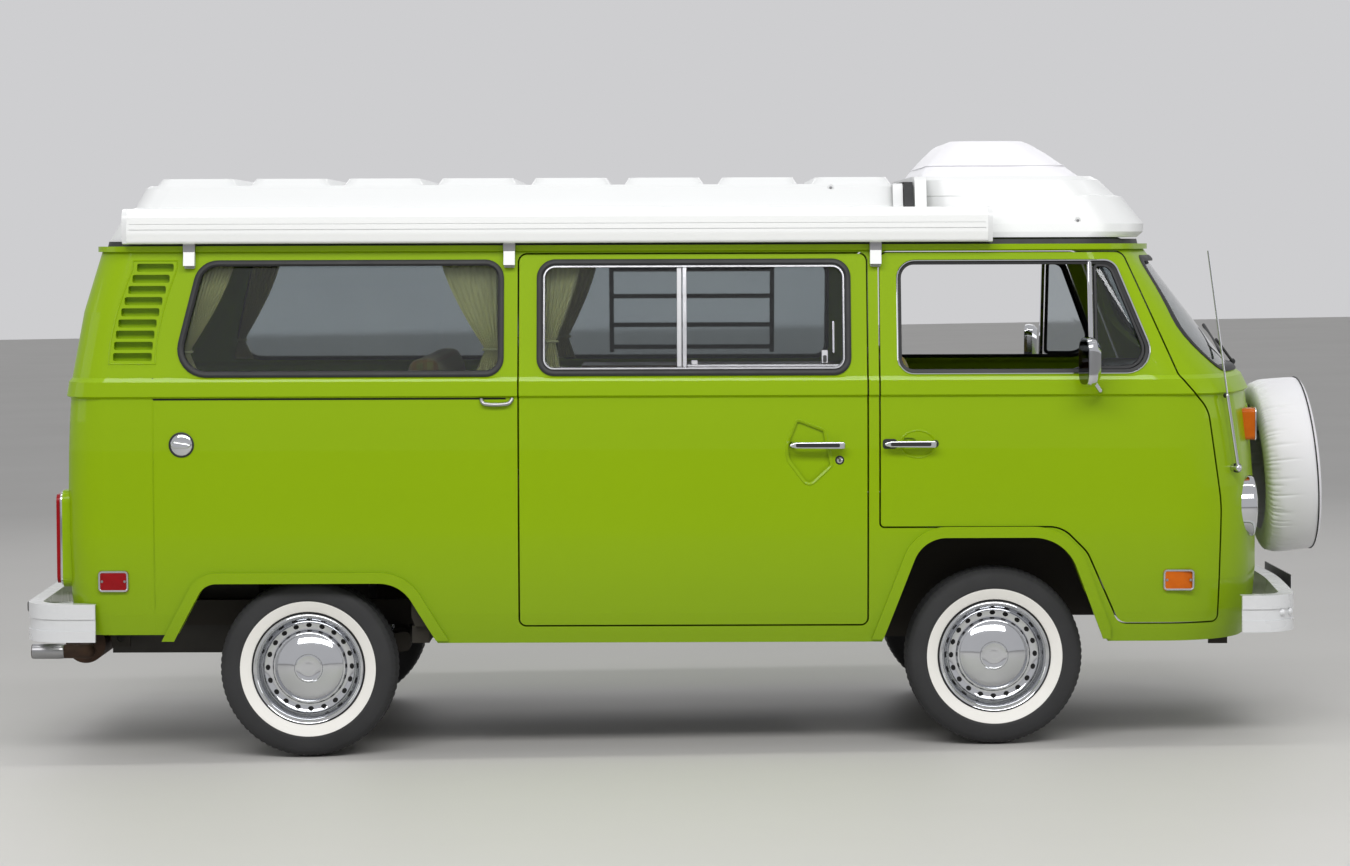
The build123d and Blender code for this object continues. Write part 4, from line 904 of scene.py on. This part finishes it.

# %% [markdown]
# ## Curtains
# Each curtain hangs over its window and is tied back to the side. Where it narrows towards the
# tie its folds grow deeper, and it flares again below.

# %% Curtains
# name: side, x of the fixed edge, x of the free edge at the top, x at the tie, height of the tie.
CURTAINS = {"rear_right_back": (RIGHT, -1786, -1590, -1745, 1400),
            "rear_right_front": (RIGHT, -668, -872, -714, 1405),
            "door_right": (RIGHT, -514, -380, -470, 1432),
            "rear_left_back": (LEFT, -1786, -1590, -1745, 1400),
            "rear_left_front": (LEFT, -668, -872, -714, 1405), "middle_left": (LEFT, -514, -350, -470, 1410),
            }
TOP_Z, HEM_Z = 1722, 1326
# How far inside the painted skin the curtains hang.
LAYER = 61.0


def curtain(name, way, fixed, free, tie, tie_z):
    """Pleated cloth drawn in at the tie."""
    rows, columns, pleats = 44, 97, 8
    verts = []
    lean = 94 / 396 if fixed < -1700 else 0
    for i in range(rows):
        z = TOP_Z + (HEM_Z - TOP_Z) * i / (rows - 1)
        if z > tie_z:
            t = (TOP_Z - z) / (TOP_Z - tie_z)
            edge = free + (tie - free) * t ** 1.35
        else:
            t = (tie_z - z) / (tie_z - HEM_Z)
            edge = tie + (free - tie) * 0.22 * t
        start = fixed + (z - HEM_Z) * lean
        edge = max(edge, start + 30) if free > fixed else edge
        tight = min(1.0, abs(edge - start) / abs(free - fixed))
        for j in range(columns):
            u = j / (columns - 1)
            fold = math.sin(2 * math.pi * pleats * (u + 0.03 * math.sin(3 * u + fixed)))
            depth = (7.5 - 3.0 * tight) * fold + 1.5 * noise.noise(Vector((u * 5, z / 90, fixed)))
            x = start + (edge - start) * u
            verts.append(row(x, way * (side_y(z) - LAYER + depth), z))
    made = piece("curtain_" + name, verts, grid_faces(rows, columns), backlit_curtain_cloth, "body", 80)
    tied = [row(tie + (8 if free > fixed else -8), way * (side_y(tie_z) - LAYER + d), tie_z) for d in (-12,
                                                                                                       12)]
    ends = [row(fixed + (tie_z - HEM_Z) * lean, way * (side_y(tie_z) - LAYER + d), tie_z) for d in (12, -12)]
    tube("curtain_tie_" + name, [tied[0], tied[1], ends[0], ends[1], tied[0]], 4, backlit_curtain_cloth, "body",
         False)
    return made


for name, facts in CURTAINS.items():
    made = curtain(name, *facts)
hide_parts("curtains")

# %% [markdown]
# ## Seats and pads
# The bench, the pad over the engine and the cab seats are foam under checked cloth. A closed
# box with its edges rounded is remeshed, puffed up from inside by the cloth solver for twenty
# frames, and kept from growing further than a real cover would let it.

# %% Puffed cushions


def cushion(name, corners, y0, y1, node=None, limit=0.016):
    """A padded piece from a side outline in body millimetres, puffed by the cloth solver."""
    outline = rounded(corners, 5, 60)
    work = bmesh.new()
    inset = 7
    ring = grown(outline, -inset)
    rows = 13
    for k in range(rows):
        y = y0 + inset + (y1 - y0 - 2 * inset) * k / (rows - 1)
        for p in ring:
            work.verts.new(row(p.x, y, p.y))
    work.verts.ensure_lookup_table()
    n = len(ring)
    for a, b, c, d in grid_faces(rows, n, False, True):
        work.faces.new([work.verts[i] for i in (a, b, c, d)])
    work.faces.new([work.verts[i] for i in range(n)])
    work.faces.new([work.verts[(rows - 1) * n + i] for i in range(n)])
    bmesh.ops.recalc_face_normals(work, faces=work.faces)
    mesh = bpy.data.meshes.new(name)
    work.to_mesh(mesh)
    work.free()
    made = put(name, mesh)
    puff(made, limit)
    made.data.shade_smooth()
    made.data.materials.append(cloth)
    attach(made, "body")
    if node:
        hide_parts(node)
    return made


VOXEL = 0.018
CLOTH_FRAMES = 20


def bake_modifiers(made):
    """The piece's mesh with its modifiers applied."""
    shown = made.evaluated_get(bpy.context.evaluated_depsgraph_get())
    mesh = bpy.data.meshes.new_from_object(shown)
    made.modifiers.clear()
    made.data = mesh


def puff(made, limit):
    """Remesh, inflate under pressure for twenty frames and cap how far a point may move."""
    voxel = made.modifiers.new("voxels", "REMESH")
    voxel.mode = "VOXEL"
    voxel.voxel_size = VOXEL
    bake_modifiers(made)
    start = [v.co.copy() for v in made.data.vertices]
    solver = made.modifiers.new("cloth", "CLOTH")
    solver.settings.use_pressure = True
    solver.settings.uniform_pressure_force = 4
    solver.settings.effector_weights.gravity = 0
    solver.point_cache.frame_end = CLOTH_FRAMES
    for frame_number in range(1, CLOTH_FRAMES + 1):
        bpy.context.scene.frame_set(frame_number)
    bake_modifiers(made)
    bpy.context.scene.frame_set(1)
    for v, first in zip(made.data.vertices, start):
        move = v.co - first
        if move.length > limit:
            v.co = first + move.normalized() * limit
    finer = made.modifiers.new("finer", "SUBSURF")
    finer.levels = 1
    finer.render_levels = 1


BENCH_HALF, SEAT_Y, SEAT_HALF = 640, 380, 245
REAR_PADS = {
    "bench_seat_pad": ("bench_seat", [(-944, 770, 20), (-944, 885, 40), (-430, 900, 50), (-430, 770, 30)]),
    "bench_back_pad": ("bench_back", [(-920, 906, 20), (-1010, 1385, 40), (-890, 1395, 40), (-800, 906, 40)]),
    "deck_pad_cover": ("deck_pad", [(-2090, 905, 20), (-2090, 985, 30), (-1060, 1000, 30), (-1060, 905, 20)]),
}
SEAT_SHAPE = [(872, 790, 20), (872, 905, 30), (1330, 935, 50), (1345, 850, 40), (1320, 790, 20)]
BACK_SHAPE = [(760, 790, 20), (664, 1395, 38), (760, 1405, 34), (868, 790, 10)]
for name, (node, corners) in REAR_PADS.items():
    cushion(name, corners, -BENCH_HALF, BENCH_HALF, node)
for way, side in SIDES:
    across = (way * SEAT_Y - SEAT_HALF, way * SEAT_Y + SEAT_HALF)
    cushion("cab_seat_" + side, SEAT_SHAPE, *across, "cab_seats" if way == RIGHT else None)
    cushion("cab_back_" + side, BACK_SHAPE, *across)

# %% [markdown]
# ## Roof edges and awning
# The lifting roof ends in a black rubber edge where it meets the tray. The awning is a long
# white cassette with an end cap at each side, held on three stainless brackets.

# %% Roof edge rubber, screws, awning caps and brackets
# Half outlines across the roof from side to side, (half width, height).
SCREW = [(0, 4), (5, 3), (6, 0)]
LID_EDGE = [(693, 1815), (668, 1896), (640, 1904), (606, 1972), (592, 1981), (0, 1982)]
TRAY_EDGE = [(696, 1812), (688, 1838), (656, 1936), (636, 1993), (618, 2004)]
GAP_EDGE = [(688, 1796), (680, 1838), (664, 1890), (640, 1938), (618, 1972), (590, 1986), (0, 1988)]


def roof_band(name, x0, x1, points, material, body="body", over=True, proud=2.5):
    """A raised band over the roof, from one side to the other or on both sides only."""
    right_half = [(-y, z) for y, z in points]
    left_half = [(y, z) for y, z in reversed(points)]
    for i, path in enumerate([right_half + left_half[1:]] if over else [right_half, left_half]):
        verts = []
        for y, z in path:
            out = Vector((y, z - 1700)).normalized() * proud
            verts += [row(x0, y, z), row(x0, y + out.x, z + out.y), row(x1, y + out.x, z + out.y),
                      row(x1, y, z)]
        piece(f"{name}_{i}", verts, grid_faces(len(path), 4, False, True), material, body)


roof_band("roof_gap_rubber", 755, 787, GAP_EDGE, rubber)
roof_band("lid_flange", 716, 751, LID_EDGE, plastic, "lifting_roof")
roof_band("tray_flange", 791, 832, TRAY_EDGE, plastic, over=False)
for way, side in SIDES:
    for name, x, half, z, body in (("tray", 1360, 684, 1849, "body"),
                                   ("lid", 498, 609, 1968, "lifting_roof")):
        turned(f"{name}_screw_{side}", SCREW, row(x, way * half, z), (0, way, 0), steel, body, 24)
        turned(f"{name}_washer_{side}", [(0, 2), (11, 1.5), (12, -1)], row(x, way * half, z), (0, way, 0),
               plastic, body, 32)
AWNING_FACE = [(-736, 1776), (-800, 1775), (-815, 1778), (-822, 1800), (-822, 1862), (-816, 1882),
               (-800, 1896), (-736, 1899)]
for side, x0, x1 in (("rear", -1968, -1952), ("front", 1034, 1050)):
    verts = [row(x, y + (-1.5 if y < -740 else 0), z) for x in (x0, x1) for y, z in AWNING_FACE]
    piece("awning_cap_" + side, verts, prism_faces(len(AWNING_FACE)), plastic)
for i, x in enumerate((-1741, -628, 646)):
    bar(f"awning_bracket_{i}", x - 18, x + 18, 1690, 1742, 4, 8, steel)
    bar(f"awning_bracket_lip_{i}", x - 21, x + 21, 1746, 1776, 8, 36, steel)
    turned(f"awning_bolt_{i}", SCREW, RIGHT_SIDE(x, 1706, 8), (0, RIGHT, 0), chrome, "body", 6, 20)
print("roof edges and awning dressed")

# %% [markdown]
# ## Nose
# Headlamps are chromed rings with a fluted glass, the indicators sit above them, and the nose
# carries no badge. The front bumper holds a blank plate in a black holder, and the rear one has
# a black rubber strip on its face. Both are bolted on.

# %% Headlamp rings, indicators, bumper strips and blank plates
HEADLAMP = (1988, 590, 838)
for way, side in SIDES:
    centre = row(HEADLAMP[0], way * HEADLAMP[1], HEADLAMP[2])
    turned("headlamp_ring_" + side, [(104, -60), (108, -20), (109, -2), (106, 6), (98, 9), (90, 5), (88, -1)],
           centre, (1, 0, 0), chrome, "body", 96)
    verts = []
    rows = [(0, 23), (30, 21), (60, 15), (80, 8), (88, 3)]
    steps = 144
    for i in range(steps):
        a = 2 * math.pi * i / steps
        out = Vector((0, math.cos(a), math.sin(a)))
        for r, h in rows:
            flute = 0.8 * math.sin(out.y * r / 4.5) if r else 0
            verts.append(centre + (out * r + Vector((1, 0, 0)) * (h + 1 + flute)) * MM)
    piece("headlamp_glass_" + side, verts, grid_faces(steps, len(rows), True), lamp_glass, "body", 60)
    turned("headlamp_bowl_" + side, [(0, 5), (50, 2), (86, 1.5)], centre, (1, 0, 0), chrome, "body", 64)
    low, high = sorted((way * 428, way * 540))
    lamp = box(low, high, 1069, 1180, 14)
    flat = (lambda u, v, h: row(2014 + h, u, v))
    strip("indicator_frame_" + side, lamp, [(3, -3), (3, 0), (1, 2), (-4, 2), (-5, 0)], flat, chrome)
    plate("indicator_rib_" + side, grown(lamp, -14), flat, 0, 3, amber, "body", 2)
    tail_lamp = box(way * 645, way * 760, 591, 903, 26)
    back = (lambda u, v, h: row(-2196 - h, u, v))
    strip("tail_lamp_frame_" + side, tail_lamp, [(7, -2), (7, 6), (4, 9), (1, 9), (-1, 6), (-1, -2)], back,
          chrome)
    for z0, z1, colour in ((816, 896, amber), (700, 810, red), (604, 694, lamp_glass)):
        low, high = sorted((way * 653, way * 752))
        window = box(low, high, z0, z1, 10, 4)
        plate(f"tail_lamp_{z0}_{side}", window, back, 19, 23.5, colour, "body", 2)


BUMPER_RADIUS = 4000


def bumper_x(y, front):
    """Face of the bumper at a place across the van: straight arms that meet in a wide curve."""
    tip, bow, half = (2175, 70, 874) if front else (-2347, 30, 882)
    lean = math.atan(bow / half)
    if abs(y) < BUMPER_RADIUS * math.tan(lean):
        back = BUMPER_RADIUS / math.cos(lean) - math.sqrt(BUMPER_RADIUS ** 2 - y ** 2)
    else:
        back = bow * abs(y) / half
    return tip - back if front else tip + back


def bumper_strip(name, y_end, z0, z1, proud, front, material):
    """A flat strip on the face of a bumper."""
    out = 1 if front else -1
    verts = []
    spots = [-y_end + 2 * y_end * k / 40 for k in range(41)]
    for y in spots:
        x = bumper_x(y, front)
        for d, z in ((-1, z0), (proud - 3, z0), (proud, z0 + 5), (proud, z1 - 5), (proud - 3, z1), (-1, z1)):
            verts.append(row(x + out * d, y, z))
    faces = grid_faces(41, 6, False, True) + [tuple(range(6)), tuple(range(240, 246))]
    return piece(name, verts, faces, material)


bumper_strip("rear_bumper_rubber", 715, 488, 524, 9, False, rubber)
for end, front, z in (("front", True, 480), ("rear", False, 456)):
    out = 1 if front else -1
    for i, y in enumerate((-640, -330, 330, 640)):
        spot = row(bumper_x(y, front) - out * 5, y, z)
        turned(f"bumper_bolt_{end}_{i}", [(0, 14), (9, 12), (13, 6), (14, -2)], spot, (out, 0, 0),
               bumper_white, "body", 32)
# The bolts on the bumper's round corners are found by a ray from outside towards the middle of the bend.
BEND = (1800, 620, 480)
bumper = NODES["front_bumper"]
to_bumper = bumper.matrix_world.inverted()
for way, side in SIDES:
    for i, turn_out in enumerate((32, 40)):
        away = Vector((math.cos(math.radians(turn_out)), way * math.sin(math.radians(turn_out)), 0))
        start = row(BEND[0], way * BEND[1], BEND[2]) + away * 0.9
        hit, spot, _, _ = bumper.ray_cast(to_bumper @ start, to_bumper.to_3x3() @ -away)
        if hit:
            turned(f"bumper_corner_bolt_{side}_{i}", [(0, 13), (8, 11), (12, 6), (13, -4)],
                   bumper.matrix_world @ spot, away, bumper_white, "body", 32)
PLATE_EDGE = [(-260, -54), (260, -54), (260, 54), (-260, 54)]
for end, middle in (("front", row(2192.5, 0, 500)), ("rear", row(-2211, 0, 985))):
    verts = [middle + Vector((d, a, b)) * MM for d in (0, 3) for a, b in PLATE_EDGE]
    sign = piece(f"blank_plate_{end}", verts, prism_faces(4), awning_white)
    rim_off = sign.modifiers.new("edge", "BEVEL")
    rim_off.width = 0.0012
for name in ("front_bumper", "rear_bumper"):
    eased = NODES[name].modifiers.new("edge", "BEVEL")
    eased.width = 0.0025
    eased.segments = 3
    eased.limit_method = "ANGLE"
    eased.harden_normals = True
holder = [row(2188 + d, y, z) for d in (0, 4) for y, z in ((-266, 440), (266, 440), (266, 560), (-266, 560))]
piece("front_plate_holder", holder, prism_faces(4), black_plastic)
for i, y in enumerate((-150, 150)):
    tube(f"front_plate_stay_{i}", [row(2150, y, 500), row(2192, y, 500)], 7, black_plastic, "body", False)
PIPE_END, PIPE_START = row(-2350, -540, 326), row(-2250, -540, 326)
turned("tailpipe_tip", [(20, 0.5), (23, 0), (26.5, 1.5), (27, 6), (27, 96), (26, 112), (25, 114)],
       PIPE_END + Vector((0.001, 0, 0)), PIPE_START - PIPE_END, steel, "body", 48)
for name, spot, r in (("base", row(1915, -760, 983), 17), ("clip", row(1873, -778, 1237), 9)):
    turned("aerial_" + name, [(0, -14), (r, -14), (r, -4), (r - 3, 1), (r - 7, 3), (0, 3)], spot,
           (0.35, -1, 0), rubber, "body", 32)
print("nose and tail lamps dressed")

# %% [markdown]
# ## Tail
# The tailgate has a push button on a chromed grip over the blank plate, and the engine lid a
# button of its own. Two painted plates stand for the tailgate's hinges.

# %% Tailgate handle and hinges
TAIL = on_end(False)
turned("tailgate_button", [(0, 24), (12, 23), (14, 18), (16, 6), (22, 2), (24, 0)], TAIL(0, 1108, 0),
       (-1, 0, 0), chrome, "tail_door", 48)
plate("tailgate_grip", box(-70, 70, 1086, 1128, 8, 4), TAIL, 0, 7, chrome, "tail_door", 3)
turned("engine_lid_button", [(0, 14), (12, 13), (15, 6), (18, 0)], TAIL(0, 900, 0), (-1, 0, 0), chrome,
       "engine_cover", 48)
for i, y in enumerate((-420, 420)):
    outline = box(y - 34, y + 34, 1700, 1728, 6, 4)
    plate(f"tailgate_hinge_{i}", outline, TAIL, 0, 8, paint, "tail_door", 3)
print("tail dressed")

# %% [markdown]
# ## Inside
# The far middle window looks louvred: four dark bars and two posts stand inside its plain pane.

# %% Louvred window on the left
for i, z in enumerate((1367, 1454, 1567, 1672)):
    bar(f"louvre_bar_{i}", -300, 330, z - 9, z + 9, -40, -26, black_plastic, way=LEFT)
for i, x in enumerate((-300, 330)):
    bar(f"louvre_post_{i}", x - 9, x + 9, 1345, 1690, -40, -26, black_plastic, way=LEFT)
print("louvre done")

# %% [markdown]
# ## Studio
# A plain pale floor and soft light: a long narrow lamp above, a large one in front high up, and
# weaker ones at the ends and behind, over an even pale surround. The surround's colour
# reaches the camera, metal and glass directly and lights the van only gently.

# %% Floor, lamps and surround
floor_mesh = bpy.data.meshes.new("floor")
FLOOR_HALF = 60
floor_mesh.from_pydata([(-FLOOR_HALF, -FLOOR_HALF, 0), (FLOOR_HALF, -FLOOR_HALF, 0),
                        (FLOOR_HALF, FLOOR_HALF, 0), (-FLOOR_HALF, FLOOR_HALF, 0)], [], [(0, 1, 2, 3)])
floor = put("floor", floor_mesh)
floor.location.z = -0.0005
floor_mesh.materials.append(finish("studio_floor", srgb(204, 202, 199), srgb(198, 196, 193), rough=0.55,
                                   size=0.6, bump=0.05, grain=30))


def lamp(name, place, target, size, watts):
    """A soft rectangular lamp aimed at a point."""
    data = bpy.data.lights.new(name, "AREA")
    data.shape = "RECTANGLE"
    data.size, data.size_y = size
    data.energy = watts
    made = put(name, data)
    made.location = place
    made.rotation_euler = (Vector(target) - Vector(place)).to_track_quat("-Z", "Y").to_euler()


lamp("overhead", (0, -0.74, 5.2), (0, -0.74, 1), (9, 0.25), 75)
lamp("front_high", (0, -7.0, 6.2), (0, -0.8, 1.2), (10, 2.0), 500)
lamp("back_high", (0, 8.5, 5.0), (0, 0, 0.9), (10, 2.4), 100)
lamp("nose_side", (8.5, -1.5, 3.0), (0, 0, 0.9), (4, 3), 50)
lamp("tail_side", (-8.5, -1.5, 3.0), (0, 0, 0.9), (4, 3), 50)

world = bpy.data.worlds.new("surround")
bpy.context.scene.world = world
world.use_nodes = True
tree = world.node_tree
ground = tree.nodes["Background"]
ground.inputs["Color"].default_value = (0.80, 0.81, 0.82, 1)
ground.inputs["Strength"].default_value = 0.5
seen = add(tree, "ShaderNodeBackground")
seen.inputs["Color"].default_value = srgb(206, 206, 208)
rays = add(tree, "ShaderNodeLightPath")
either = add(tree, "ShaderNodeMath", [(0, rays.outputs["Is Camera Ray"]), (1, rays.outputs["Is Glossy Ray"])],
             operation="MAXIMUM")
any_of = add(tree, "ShaderNodeMath", [(0, either.outputs[0]), (1, rays.outputs["Is Transmission Ray"])],
             operation="MAXIMUM")
choose = add(tree, "ShaderNodeMixShader",
             [(0, any_of.outputs[0]), (1, ground.outputs[0]), (2, seen.outputs[0])])
tree.links.new(choose.outputs[0], tree.nodes["World Output"].inputs["Surface"])
bpy.context.scene.view_settings.view_transform = "Standard"
print("studio ready")
